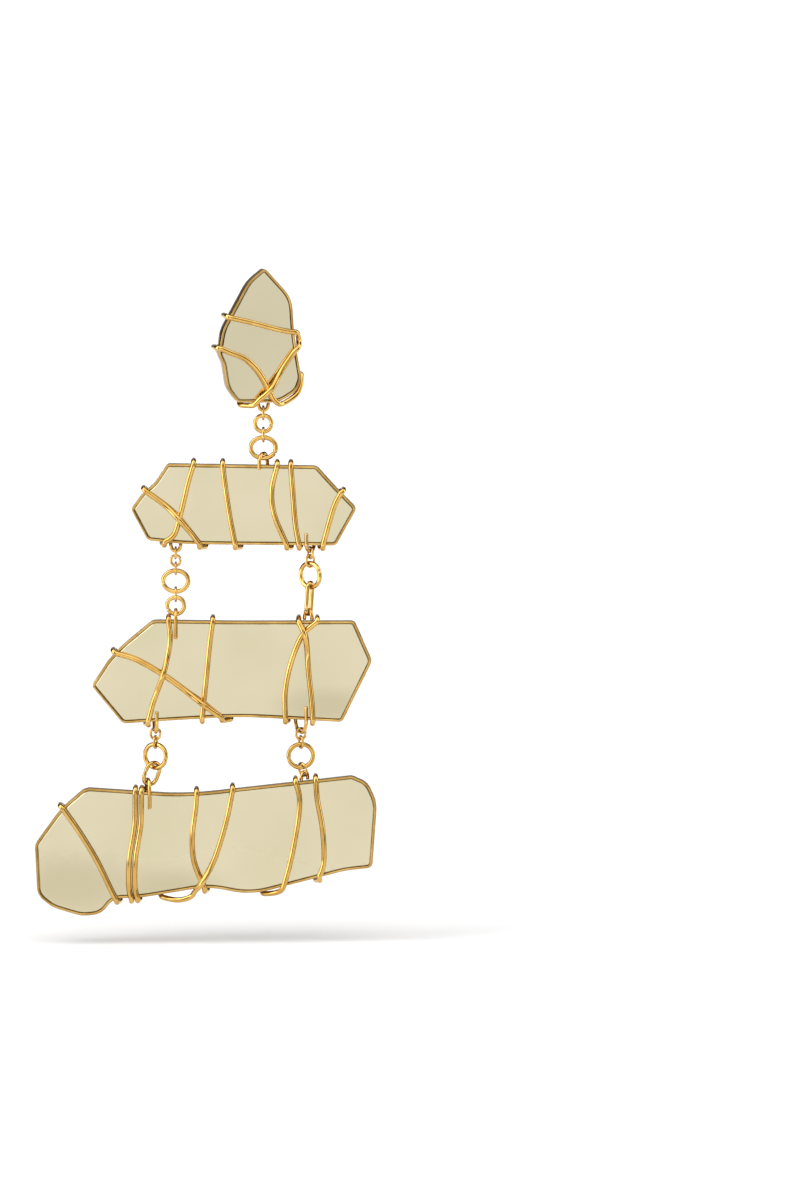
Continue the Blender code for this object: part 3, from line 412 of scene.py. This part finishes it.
# Wound wire. Round brass wire 1 mm thick, gold plated, is wound by hand over each plaque and round its
# edges. It is slightly uneven where it was bent, and its two ends are tucked behind the tray.
WRAP_WIRE = 0.00100
WRAP_GAP = 0.00008
CROSSING_REACH = 0.0024
TAIL_LENGTH = 0.0024
LONG_WAY = 0.0020
SLIP_STEP = 1.6 * WRAP_WIRE
FIRST_SLIP = 0.1
RETURN_POINTS = 5
FRONT_STEP = 1.1 * WRAP_WIRE
CROSSING_STEP = WRAP_WIRE / 8
WIRE_STEP = 0.16 * WRAP_WIRE
TIP_RADIUS = 0.72
TIP_REACH = 0.3
ANY_WAY = (0.31, 0.87, 0.38)
WOUND = {
    "tier_1_wire": {
        "tier": "tier_1", "over": ((1, 2),),
        "passes": (
            {"front": ((-0.392, 0.159), (-0.112, 0.113), (0.229, 0.054), (0.419, 0.030)),
             "gone": (0.439, -0.083), "returns": True, "slack": 0.00025},
            {"front": ((0.439, -0.083), (0.305, -0.203), (0.108, -0.386), (-0.071, -0.494)),
             "gone": (-0.209, -0.491), "slack": 0.0},
            {"front": ((-0.499, -0.076), (-0.370, -0.112), (-0.190, -0.160),
                       (-0.040, -0.250), (0.072, -0.365), (0.165, -0.499)),
             "gone": (0.510, -0.295), "slack": 0.0001},
        ),
    },
    "tier_2_wire": {
        "tier": "tier_2", "over": ((1, 0),),
        "passes": (
            {"front": ((-0.226, 0.498), (-0.249, 0.290), (-0.282, -0.088),
                       (-0.316, -0.379), (-0.356, -0.465)),
             "gone": (-0.367, -0.459)},
            {"front": ((-0.441, 0.173), (-0.336, -0.047), (-0.246, -0.318), (-0.199, -0.486)),
             "gone": (-0.172, -0.490)},
            {"front": ((-0.096, 0.494), (-0.085, 0.240), (-0.064, -0.153), (-0.040, -0.492)),
             "gone": (-0.015, -0.493)},
            {"front": ((0.148, 0.483), (0.124, 0.185), (0.134, -0.113), (0.191, -0.497)),
             "gone": (0.211, -0.498)},
            {"front": ((0.209, 0.482), (0.218, 0.158), (0.231, -0.269), (0.246, -0.499)),
             "gone": (0.253, -0.499)},
            {"front": ((0.435, 0.155), (0.407, 0.011), (0.377, -0.253), (0.353, -0.501)),
             "gone": (0.339, -0.501)},
        ),
    },
    "tier_3_wire_left": {
        "tier": "tier_3", "over": ((2, 0), (0, 1)),
        "passes": (
            {"front": ((-0.423, 0.192), (-0.350, 0.125), (-0.249, -0.028),
                       (-0.146, -0.230), (-0.038, -0.446)),
             "gone": (-0.006, -0.441)},
            {"front": ((-0.070, 0.494), (-0.080, 0.296), (-0.095, -0.099), (-0.109, -0.456)),
             "gone": (-0.112, -0.457)},
            {"front": ((-0.229, 0.500), (-0.223, 0.319), (-0.246, -0.006),
                       (-0.284, -0.300), (-0.303, -0.490)),
             "gone": (-0.313, -0.492)},
        ),
    },
    "tier_3_wire_right": {
        "tier": "tier_3", "over": ((1, 0),),
        "passes": (
            {"front": ((0.305, 0.492), (0.255, 0.367), (0.213, 0.105),
                       (0.190, -0.196), (0.191, -0.461)),
             "gone": (0.201, -0.462)},
            {"front": ((0.239, 0.492), (0.262, 0.347), (0.275, -0.029),
                       (0.287, -0.339), (0.289, -0.476)),
             "gone": (0.291, -0.476)},
        ),
    },
    "tier_4_wire_left": {
        "tier": "tier_4", "over": ((4, 3),),
        "passes": (
            {"front": ((-0.419, 0.278), (-0.371, 0.110), (-0.320, -0.097),
                       (-0.275, -0.325), (-0.264, -0.377)),
             "gone": (-0.252, -0.379)},
            {"front": ((-0.205, 0.397), (-0.207, 0.158), (-0.223, -0.104),
                       (-0.223, -0.327), (-0.217, -0.379)),
             "gone": (-0.214, -0.377)},
            {"front": ((-0.187, 0.394), (-0.189, 0.158), (-0.205, -0.104),
                       (-0.205, -0.327), (-0.199, -0.377)),
             "gone": (-0.193, -0.376)},
            {"front": ((-0.025, 0.384), (-0.028, 0.282), (-0.038, 0.068),
                       (-0.033, -0.111), (-0.002, -0.304)),
             "gone": (0.006, -0.295)},
            {"front": ((0.081, 0.410), (0.062, 0.186), (0.024, -0.111), (-0.020, -0.305)),
             "gone": (-0.132, -0.352), "slack": 0.0011},
        ),
    },
    "tier_4_wire_right": {
        "tier": "tier_4", "over": (),
        "passes": (
            {"front": ((0.266, 0.456), (0.277, 0.336), (0.255, -0.054), (0.230, -0.291)),
             "gone": (0.167, -0.334), "slack": 0.0002},
            {"front": ((0.325, 0.472), (0.328, 0.351), (0.344, 0.117),
                       (0.347, -0.125), (0.334, -0.226)),
             "gone": (0.322, -0.237)},
        ),
    },
}


def edge_lengths(edge):
    """How far round the outline each of its points is, and the whole way round."""
    return np.concatenate([[0.0], np.cumsum(np.linalg.norm(np.roll(edge, -1, axis=0) - edge, axis=1))])


def find_on_edge(edge, point):
    """How far round the outline its nearest place to a point is."""
    side = np.roll(edge, -1, axis=0) - edge
    share = np.clip(((point - edge) * side).sum(axis=1) / (side**2).sum(axis=1), 0, 1)
    nearest = np.linalg.norm(edge + side * share[:, None] - point, axis=1).argmin()
    return edge_lengths(edge)[nearest] + share[nearest] * np.linalg.norm(side[nearest])


def on_edge(edge, distance):
    """Places this far round the outline, and the ways out from them."""
    lengths = edge_lengths(edge)
    loop = np.vstack([edge, edge[:1]])
    distance = np.asarray(distance, float)[..., None] + np.array([0.0, -WRAP_WIRE / 2, WRAP_WIRE / 2])
    distance = distance % lengths[-1]
    found = np.stack([np.interp(distance, lengths, loop[:, axis]) for axis in (0, 1)], axis=-1)
    place, before, after = np.moveaxis(found, -2, 0)
    along = (after - before) / np.linalg.norm(after - before, axis=-1, keepdims=True)
    return place, np.stack([-along[..., 1], along[..., 0]], axis=-1)


def bent(points, step):
    """A smooth curve through the points, with a place about every step.

    Between two points it is a cubic whose slope at each is the mean of the slopes before and after,
    weighted by how near the other point is (a centripetal Catmull-Rom curve).
    """
    points = np.asarray(points, float)
    held = np.vstack([2 * points[0] - points[1], points, 2 * points[-1] - points[-2]])
    gaps = np.sqrt(np.linalg.norm(np.diff(held, axis=0), axis=1))
    slopes = np.diff(held, axis=0) / gaps[:, None]
    before, after = gaps[:-1, None], gaps[1:, None]
    slope = (slopes[:-1] * after + slopes[1:] * before) / (before + after)
    inner, gaps = held[1:-1], gaps[1:-1]
    spans = np.linalg.norm(np.diff(inner, axis=0), axis=1)
    counts = np.maximum(1, np.ceil(spans / step)).astype(int)
    which = np.repeat(np.arange(len(counts)), counts)
    first = np.concatenate([[0], np.cumsum(counts)[:-1]])
    t = ((np.arange(counts.sum()) - first[which]) / counts[which])[:, None]
    gap = gaps[which, None]
    curve = (
        (2 * t**3 - 3 * t**2 + 1) * inner[which]
        + (t**3 - 2 * t**2 + t) * gap * slope[which]
        + (3 * t**2 - 2 * t**3) * inner[which + 1]
        + (t**3 - t**2) * gap * slope[which + 1]
    )
    return np.vstack([curve, inner[-1:]])


def round_edge(edge, start, run):
    """Wire round the edge, from the front at start to where it is gone: behind, or in front again.

    A wire that is gone far off slips over the edge slowly, and bulges from it by slack * sin(pi * share).
    """
    clear = WRAP_WIRE / 2 + WRAP_GAP
    half = TRAY_DEPTH / 2
    diagonal = clear * math.sqrt(0.5)
    whole = edge_lengths(edge)[-1]
    way = (run["gone"] - start + whole / 2) % whole - whole / 2
    if run.get("returns"):
        share = np.linspace(0, 1, RETURN_POINTS)
        bulge = np.sin(math.pi * share)
        out = clear / 2 + (clear / 2 + run["slack"]) * bulge
        y = -half - diagonal + half * bulge
    elif abs(way) > LONG_WAY:
        share = np.linspace(0, 1, math.ceil(abs(way) / SLIP_STEP) + 1)
        out = clear + run["slack"] * np.sin(math.pi * share)
        y = half * (2 * share**2 - 1)
        out[0], y[0], share[0] = diagonal, -half - diagonal, FIRST_SLIP
    else:
        share = np.array([0.0, 0.0, 0.5, 1.0])
        out = np.array([diagonal, clear, clear, clear])
        y = np.array([-half - diagonal, -half, 0.0, half])
    if not run.get("returns"):
        share = np.append(share, [1.0, 1.0])
        out = np.append(out, [diagonal, 0.0])
        y = np.append(y, [half + diagonal, half + clear])
    places, outward = on_edge(edge, start + way * share)
    flat = places + outward * out[:, None]
    return np.column_stack([flat[:, 0], y, flat[:, 1]])


def eased(path):
    """The path with each place moved to the weighted mean of its neighbours, weights 1 2 4 5 4 2 1."""
    held = np.vstack([[path[0]] * 3, path, [path[-1]] * 3])
    weights = (1, 2, 4, 5, 4, 2, 1)
    return sum(weight * held[i : i + len(path)] for i, weight in enumerate(weights)) / sum(weights)


def wound(tier, passes, over):
    """The centre line of one length of wire wound round a plaque, about the plaque's centre.

    Where one pass crosses another it rises by a smooth hump, exp(-(distance / reach)^2).
    """
    size = np.array([tier["width"], tier["height"]])
    edge = outline(tier)
    front_y = -(TRAY_DEPTH / 2 + WRAP_GAP + WRAP_WIRE / 2)
    fronts, starts, turns = [], [], []
    for run in passes:
        points = np.array(run["front"]) * size
        start, finish = (find_on_edge(edge, points[end]) for end in (0, -1))
        points[0], points[-1] = on_edge(edge, start)[0], on_edge(edge, finish)[0]
        flat = bent(points, FRONT_STEP)
        fronts.append(np.column_stack([flat[:, 0], np.full(len(flat), front_y), flat[:, 1]]))
        starts.append(start)
        turns.append((finish, run | {"gone": find_on_edge(edge, np.array(run["gone"]) * size)}))
    for upper, lower in over:
        high, low = (bent(fronts[i][:, [0, 2]], CROSSING_STEP) for i in (upper, lower))
        gaps = np.linalg.norm(high[:, None] - low[None], axis=2)
        i, j = np.unravel_index(gaps.argmin(), gaps.shape)
        away = np.linalg.norm(fronts[upper][:, [0, 2]] - (high[i] + low[j]) / 2, axis=1)
        fronts[upper][:, 1] -= (WRAP_WIRE + 2 * WRAP_GAP) * np.exp(-((away / CROSSING_REACH) ** 2))
    route = []
    returned = False
    for front, start, (finish, run) in zip(fronts, starts, turns):
        if not returned:
            route.append(round_edge(edge, start, {"gone": start})[::-1])
        loose = "slack" in run
        route.append(front[1 if returned else 0 : -1 if loose else None])
        route.append(round_edge(edge, finish, run))
        returned = run.get("returns", False)
    tails = []
    for distance in (starts[0], turns[-1][1]["gone"]):
        spot, outward = on_edge(edge, distance)
        x, z = spot - outward * TAIL_LENGTH
        tails.append([[x, -front_y, z]])
    return eased(bent(np.vstack([tails[0], *route, tails[1]]), WIRE_STEP))


def tube(path, wire, sides=20):
    """A round wire along a path: place + wire/2 * (cos a * across + sin a * over).

    across starts square to the path, and is carried along with the least turning. The ends are eased in
    to a small chamfer, from TIP_RADIUS of the radius to all of it over TIP_REACH of the wire's thickness.
    """
    ahead = np.gradient(path, axis=0)
    ahead = ahead / np.linalg.norm(ahead, axis=1, keepdims=True)
    carried = [np.cross(ahead[0], ANY_WAY)]
    for direction in ahead:
        square = carried[-1] - direction * (carried[-1] @ direction)
        carried.append(square / np.linalg.norm(square))
    across = np.array(carried[1:])
    over = np.cross(ahead, across)
    lengths = np.concatenate([[0.0], np.cumsum(np.linalg.norm(np.diff(path, axis=0), axis=1))])
    to_end = np.minimum(lengths, lengths[-1] - lengths)
    eased_in = np.sqrt(np.clip(to_end / (TIP_REACH * wire), 0, 1))
    radius = wire / 2 * (TIP_RADIUS + (1 - TIP_RADIUS) * eased_in)
    angle = np.arange(sides) * 2 * math.pi / sides
    ring = np.cos(angle)[None, :, None] * across[:, None] + np.sin(angle)[None, :, None] * over[:, None]
    return path[:, None] + radius[:, None, None] * ring


wire_gold = gold(
    "wire_gold", light=(0.68, 0.42, 0.11), deep=(0.53, 0.30, 0.06), roughness=(0.02, 0.06),
    fine_scale=2600.0, grain=0.0000004, lines=0.0000002,
)

for name, length in WOUND.items():
    tier = TIERS[length["tier"]]
    path = turned(wound(tier, length["passes"], length["over"]), tier["turn"]) + tier["centre"]
    fit_out(surface(name, tube(path, WRAP_WIRE)), wire_gold, tier["body"], name, crease=50)

# Staples. Ten bits of 0.7 mm gold wire hold the chains: some are soldered to the edge of a tray, and the
# others straddle the plaque, one leg on the mirror and one behind.
STAPLE_WIRE = 0.00070
LEG_BEHIND = 0.0010
LOOP_EASING = 0.75
FRONT_EASING = 2.0
FOOT_GAP = 0.0001
LOOP_POINTS = 11
STAPLE_STEP = 0.00012
STAPLE_SIDES = 16
LINK_GAP = 0.00015
TINY_WIRE = 0.00045
SMALL_WIRE = 0.00050
LINK_WIRE = 0.00078
BIG_WIRE = 0.00085
STAPLES = {
    "a_upper": {"tier": "tier_1", "x": 0.055, "skew": 0.00093, "spread": 0.0, "leg": 0.0},
    "a_lower": {"tier": "tier_2", "x": 0.086, "skew": 0.00075, "leg": 0.0008},
    "b_upper": {"tier": "tier_2", "x": -0.307, "skew": 0.00093, "spread": 0.0, "leg": 0.0},
    "b_lower": {"tier": "tier_3", "x": -0.203, "skew": 0.0, "leg": 0.0034},
    "c_upper": {"tier": "tier_2", "x": 0.2955, "skew": 0.0007, "leg": 0.0022, "faces_front": True},
    "c_lower": {"tier": "tier_3", "x": 0.273, "skew": -0.0007, "spread": 0.0007, "leg": 0.0},
    "d_upper": {"tier": "tier_3", "x": -0.277, "skew": -0.00028, "leg": 0.0018},
    "d_lower": {"tier": "tier_4", "x": -0.168, "skew": -0.00035, "leg": 0.0031},
    "e_upper": {"tier": "tier_3", "x": 0.246, "skew": -0.0010, "leg": 0.0025},
    "e_lower": {"tier": "tier_4", "x": 0.291, "skew": 0.0006, "spread": 0.0007, "leg": 0.0},
}


def wall_height(edge, x, side):
    """The height of the outline's top (side 1) or bottom (side -1) at x."""
    after = np.roll(edge, -1, axis=0)
    spans = (edge[:, 0] - x) * (after[:, 0] - x) <= 0
    start, end = edge[spans], after[spans]
    share = (x - start[:, 0]) / np.where(end[:, 0] == start[:, 0], 1.0, end[:, 0] - start[:, 0])
    return side * (side * (start[:, 1] + share * (end[:, 1] - start[:, 1]))).max()


def staple(edge, spec, middle, side, loop_z):
    """A staple's centre line: front leg, loop past the edge to loop_z, back leg.

    The loop is half an ellipse with its sides eased outwards: x and y follow -cos(angle) to the power
    LOOP_EASING, or y to the power FRONT_EASING where it faces the front, and z follows sin(angle).
    Soldered feet start just off the edge, and others beside the tray.
    """
    straddles = spec["leg"] > 0
    across = TRAY_DEPTH / 2 + WRAP_GAP + STAPLE_WIRE / 2 if straddles else spec["spread"]
    easing = FRONT_EASING if spec.get("faces_front") else LOOP_EASING
    feet = [wall_height(edge, middle + way * spec["skew"], side) for way in (-1, 1)]
    if not straddles:
        feet = [foot + side * FOOT_GAP for foot in feet]
    angle = np.linspace(0, math.pi, LOOP_POINTS)
    share = -np.cos(angle)
    base = np.where(share < 0, feet[0], feet[1])
    x = middle + spec["skew"] * np.sign(share) * np.abs(share) ** LOOP_EASING
    y = across * np.sign(share) * np.abs(share) ** easing
    points = np.column_stack([x, y, base + (loop_z - base) * np.sin(angle)])
    if straddles:
        front = (middle - spec["skew"], -across, feet[0] - side * spec["leg"])
        behind = (middle + spec["skew"], across, feet[1] - side * LEG_BEHIND)
        points = np.vstack([front, points, behind])
    return bent(points, STAPLE_STEP)


for name, spec in STAPLES.items():
    node = f"chain_{name}_staple"
    tier = TIERS[spec["tier"]]
    low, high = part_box(node)
    side = -1 if "upper" in name else 1
    reach = (low.z + STAPLE_WIRE / 2 if side < 0 else high.z - STAPLE_WIRE / 2) - tier["centre"][2]
    # Chain A's line passes through the middle of the turned top plaque.
    if name == "a_upper":
        origin = np.array((low + high) / 2)
        origin[2] = tier["centre"][2]
        origin[0] -= spec["x"] * tier["width"]
    else:
        origin = tier["centre"]
    path = staple(outline(tier), spec, spec["x"] * tier["width"], side, reach) + origin
    mesh = surface(node, tube(path, STAPLE_WIRE, STAPLE_SIDES))
    fit_out(mesh, wire_gold, tier["body"], node, crease=50)

# Jump rings. Round wire wound on a mandrel, cut into rings and closed by hand, so each has a fine cut whose
# two ends don't quite meet. The small ones join, and the large round ones show.
CHAINS = {
    "a": (
        {"wire": SMALL_WIRE, "width": 0.0003, "turn": 90, "cut": 200, "body": "drop_ring"},
        {"wire": LINK_WIRE, "width": 0.00145, "turn": 0, "cut": 100, "body": "drop"},
        {"wire": SMALL_WIRE, "width": 0.00025, "turn": 90, "cut": 160, "body": "drop"},
        {"wire": BIG_WIRE, "width": 0.0028, "turn": 0, "cut": 118, "body": "drop"},
    ),
    "b": (
        {"wire": TINY_WIRE, "width": 0.0001, "turn": 90, "cut": 200, "body": "tier_3"},
        {"wire": SMALL_WIRE, "width": 0.00045, "turn": 0, "cut": 80, "body": "tier_3"},
        {"wire": TINY_WIRE, "width": 0.00005, "turn": 90, "cut": 150, "body": "tier_3"},
        {"wire": BIG_WIRE, "width": 0.0030, "turn": 0, "cut": 262, "body": "tier_3"},
        {"wire": SMALL_WIRE, "width": 0.00025, "turn": 90, "cut": 110, "body": "tier_3"},
        {"wire": LINK_WIRE, "width": 0.00135, "turn": 0, "cut": 250, "body": "tier_3"},
    ),
    "c": (
        {"wire": SMALL_WIRE, "width": 0.0004, "turn": -62, "cut": 181, "body": "tier_3"},
        {"wire": TINY_WIRE, "width": 0.0, "turn": 30, "cut": 200, "body": "tier_3"},
        {"wire": BIG_WIRE, "width": 0.0027, "turn": -40, "cut": 70, "body": "tier_3"},
        {"wire": LINK_WIRE, "width": 0.0001, "turn": 63, "cut": 250, "body": "tier_3"},
    ),
    "d": (
        {"wire": SMALL_WIRE, "width": 0.0003, "turn": -12, "cut": 100, "body": "tier_4"},
        {"wire": TINY_WIRE, "width": 0.0, "turn": 70, "cut": 200, "body": "tier_4"},
        {"wire": BIG_WIRE, "width": 0.0027, "turn": -33, "cut": 105, "body": "tier_4"},
        {"wire": LINK_WIRE, "width": 0.0010, "turn": 35, "cut": 270, "body": "tier_4"},
    ),
    "e": (
        {"wire": SMALL_WIRE, "width": 0.0003, "turn": 20, "cut": 100, "body": "tier_4"},
        {"wire": TINY_WIRE, "width": 0.0, "turn": -65, "cut": 200, "body": "tier_4"},
        {"wire": BIG_WIRE, "width": 0.0030, "turn": 12, "cut": 255, "body": "tier_4"},
        {"wire": SMALL_WIRE, "width": 0.0004, "turn": -50, "cut": 90, "body": "tier_4"},
    ),
}
CUT_WIDTH = 0.00005
CUT_OFFSET = 0.00004
RING_POINTS = 73
RING_SIDES = 16
STRAIGHTNESS = 6


def ring(width, length, wire, cut):
    """A jump ring's centre line, standing and facing the front.

    The big ones are ellipses. The others are circles pulled apart into straights, by the extra length times
    tanh(STRAIGHTNESS * direction). A ring runs once round from its cut, an angle clockwise from the top,
    and its ends pass each other slightly.
    """
    radius = (min(width, length) - wire) / 2
    extra = (np.array([width, length]) - wire) / 2 - radius
    angle = math.radians(cut) + np.linspace(0, 2 * math.pi, RING_POINTS)
    flat = np.column_stack([np.sin(angle), np.cos(angle)])
    places = radius * flat + extra * (flat if wire == BIG_WIRE else np.tanh(flat * STRAIGHTNESS))
    apart = np.linspace(-CUT_OFFSET / 2, CUT_OFFSET / 2, RING_POINTS)
    around = CUT_WIDTH / 2 * np.column_stack([np.cos(angle), -np.sin(angle)])
    places[0] += around[0]
    places[-1] -= around[-1]
    return np.column_stack([places[:, 0], apart, places[:, 1]])


ring_gold = gold(
    "ring_gold", light=(0.69, 0.43, 0.12), deep=(0.55, 0.32, 0.07), roughness=(0.02, 0.06),
    fine_scale=2600.0, grain=0.0000004, lines=0.0000002,
)

for name, links in CHAINS.items():
    wires = [STAPLE_WIRE, *(link["wire"] for link in links), STAPLE_WIRE]
    boxes = [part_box(f"chain_{name}_upper_staple")]
    boxes += [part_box(f"chain_{name}_link_{number}") for number in range(1, len(links) + 1)]
    for number, link in enumerate(links, start=1):
        node = f"chain_{name}_link_{number}"
        low, high = (np.array(corner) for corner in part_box(node))
        wire = link["wire"]
        # Across a ring lie its own wire twice, its thicker neighbour's once, air twice and its extra width.
        width = 2 * wire + max(wires[number - 1], wires[number + 1]) + 2 * LINK_GAP + link["width"]
        # The last link leans from the foot of the one above it, which is straight under that one's middle.
        middle = (low + high) / 2
        above = (np.array(boxes[number - 1][0]) + np.array(boxes[number - 1][1])) / 2
        length = high[2] - low[2]
        lean = math.atan2(2 * (middle[0] - above[0]), length - wire) if number == len(links) else 0.0
        path = ring(width, wire + (length - wire) / math.cos(lean), wire, link["cut"])
        path = turned(path, math.radians(link["turn"]))
        x, y, z = path.T
        cos, sin = math.cos(lean), math.sin(lean)
        path = np.column_stack([x * cos - z * sin, y, x * sin + z * cos]) + middle
        mesh = surface(node, tube(path, wire, RING_SIDES))
        fit_out(mesh, ring_gold, link["body"], node, crease=50)

# Ear post. A straight post soldered to the middle of a small round pad behind the top plaque, with a groove
# near its rounded tip for the catch. Hidden in wear. It is turned from these distances and radii.
POST_PROFILE = (
    (-0.00060, 0.00235), (-0.00060, 0.00250), (-0.00010, 0.00250), (0.00000, 0.00240), (0.00000, 0.00072),
    (0.00010, 0.00055), (0.00030, 0.00045), (0.00860, 0.00045), (0.00880, 0.00036), (0.00910, 0.00036),
    (0.00930, 0.00045), (0.01060, 0.00045), (0.01090, 0.00035), (0.01100, 0.00018),
)
POST_SIDES = 40
post_gold = gold(
    "post_gold", light=(0.82, 0.56, 0.20), deep=(0.72, 0.45, 0.14), roughness=(0.08, 0.18),
    fine_scale=4200.0, grain=0.000001,
)
profile = np.array(POST_PROFILE)
angle = np.arange(POST_SIDES) * 2 * math.pi / POST_SIDES
round_post = np.stack([
    profile[:, 1, None] * np.cos(angle),
    np.broadcast_to(profile[:, 0, None], (len(profile), len(angle))),
    profile[:, 1, None] * np.sin(angle),
], axis=-1)
post_mesh = surface("ear_post", turned(round_post, TIERS["tier_1"]["turn"]))
fit_out(post_mesh, post_gold, "top", "ear_post", crease=35)

# Floor. A wide white board lies under the lowest plaque, with room for the drop's sideways swing. Its front
# edge is near, so that the wires and mirrors catch the room in front of it.
FLOOR_GAP = 0.0054
FLOOR_REACH = 30.0
FLOOR_FRONT = -0.13
BOARD_WHITE = (0.95, 0.95, 0.95)
BOARD_ROUGHNESS = 0.9
floor_z = cad_box[0].z - FLOOR_GAP
floor_mesh = bpy.data.meshes.new("floor")
floor_mesh.from_pydata(
    [
        (-FLOOR_REACH, FLOOR_FRONT, floor_z), (FLOOR_REACH, FLOOR_FRONT, floor_z),
        (FLOOR_REACH, FLOOR_REACH, floor_z), (-FLOOR_REACH, FLOOR_REACH, floor_z),
    ],
    [],
    [(0, 1, 2, 3)],
)
floor = bpy.data.objects.new("floor", floor_mesh)
bpy.context.scene.collection.objects.link(floor)
board = bpy.data.materials.new("white_board")
board.use_nodes = True
paint = board.node_tree.nodes["Principled BSDF"]
paint.inputs["Base Color"].default_value = (*BOARD_WHITE, 1.0)
paint.inputs["Roughness"].default_value = BOARD_ROUGHNESS
paint.inputs["Specular IOR Level"].default_value = 0.0
floor_mesh.materials.append(board)

# Light. A white room with grey gaps between its walls, and white ground beyond the board's near edge.
# Each lobe adds light, or takes it away, along a bearing from the camera's side and a slope up, and fades
# between two angles from there. A strip stands upright from floor to ceiling.
ROOM = 0.30
STRIP_SQUASH = (1.0, 1.0, 0.15)
STRAIGHT_DOWN = -1e6
WALLS = (
    {"bearing": 0, "up": -0.105, "outer": 24, "inner": 9, "strength": 0.86},
    {"bearing": 32, "up": -0.105, "outer": 15, "inner": 6, "strength": 0.72},
    {"bearing": 180, "up": -0.21, "outer": 16, "inner": 10, "strength": 0.90},
)
STRIPS = (
    {"bearing": -30, "outer": 19, "inner": 12, "strength": -0.30},
    {"bearing": -64, "outer": 23, "inner": 15, "strength": 3.6},
    {"bearing": -122, "outer": 32, "inner": 22, "strength": -0.26},
    {"bearing": 60, "outer": 17, "inner": 11, "strength": -0.29},
    {"bearing": 90, "outer": 18, "inner": 11, "strength": 3.0},
    {"bearing": 140, "outer": 36, "inner": 26, "strength": -0.26},
)
CEILING = {"bearing": 0, "up": 2.0, "outer": 56, "inner": 14, "strength": 1.62}
GROUND = {"bearing": 0, "up": STRAIGHT_DOWN, "outer": 81, "inner": 77, "strength": 1.05}
room = bpy.data.worlds.new("white_room")
bpy.context.scene.world = room
room.use_nodes = True
tree = room.node_tree
direction = shader_node(tree, "ShaderNodeTexCoord").outputs["Generated"]
flat = shader_node(tree, "ShaderNodeVectorMath", {"operation": "MULTIPLY"}, i0=direction, i1=STRIP_SQUASH)
level = shader_node(tree, "ShaderNodeVectorMath", {"operation": "NORMALIZE"}, i0=flat.outputs["Vector"])


def lobe_light(source, lobe, total):
    """The light so far, plus one lobe's."""
    bearing = math.radians(lobe["bearing"])
    towards = np.array([math.sin(bearing), -math.cos(bearing), lobe.get("up", 0.0)])
    facing = shader_node(tree, "ShaderNodeVectorMath", {"operation": "DOT_PRODUCT"}, i0=source)
    facing.inputs[1].default_value = towards / np.linalg.norm(towards)
    fade = shader_node(
        tree, "ShaderNodeMapRange", {"interpolation_type": "SMOOTHSTEP"}, Value=facing.outputs["Value"],
        i1=math.cos(math.radians(lobe["outer"])), i2=math.cos(math.radians(lobe["inner"])),
        i3=0.0, i4=lobe["strength"],
    )
    added = shader_node(tree, "ShaderNodeMath", {"operation": "ADD"}, i0=fade.outputs["Result"], i1=total)
    return added.outputs[0]


light = ROOM
for wall in (CEILING, GROUND, *WALLS):
    light = lobe_light(direction, wall, light)
for strip in STRIPS:
    light = lobe_light(level.outputs["Vector"], strip, light)
tree.links.new(light, tree.nodes["Background"].inputs["Strength"])
tree.nodes["Background"].inputs["Color"].default_value = (1.0, 1.0, 1.0, 1.0)

# Camera. A long lens straight in front, very slightly above, framed as the photograph is: 5.4 pixels to the
# millimetre, with the post's root at this pixel of an image of 800 by 1200.
IMAGE_WIDTH, IMAGE_HEIGHT = 800, 1200
PIXELS_PER_METRE = 5400.0
ORIGIN_PIXEL = (260.9, 318.0)
DISTANCE = 2.5
ELEVATION = math.radians(6)
SENSOR_WIDTH = 36.0
CLIP_NEAR, CLIP_FAR = 0.05, 100.0
middle = (
    (IMAGE_WIDTH / 2 - ORIGIN_PIXEL[0]) / PIXELS_PER_METRE,
    (ORIGIN_PIXEL[1] - IMAGE_HEIGHT / 2) / PIXELS_PER_METRE,
)
lens = bpy.data.cameras.new("camera")
lens.sensor_width = SENSOR_WIDTH
lens.lens = SENSOR_WIDTH * DISTANCE / (IMAGE_HEIGHT / PIXELS_PER_METRE)
lens.clip_start, lens.clip_end = CLIP_NEAR, CLIP_FAR
camera = bpy.data.objects.new("camera", lens)
bpy.context.scene.collection.objects.link(camera)
camera.location = (
    middle[0],
    -DISTANCE * math.cos(ELEVATION),
    middle[1] + DISTANCE * math.sin(ELEVATION),
)
camera.rotation_euler = (math.pi / 2 - ELEVATION, 0.0, 0.0)
bpy.context.scene.camera = camera
bpy.context.scene.view_settings.view_transform = "Standard"
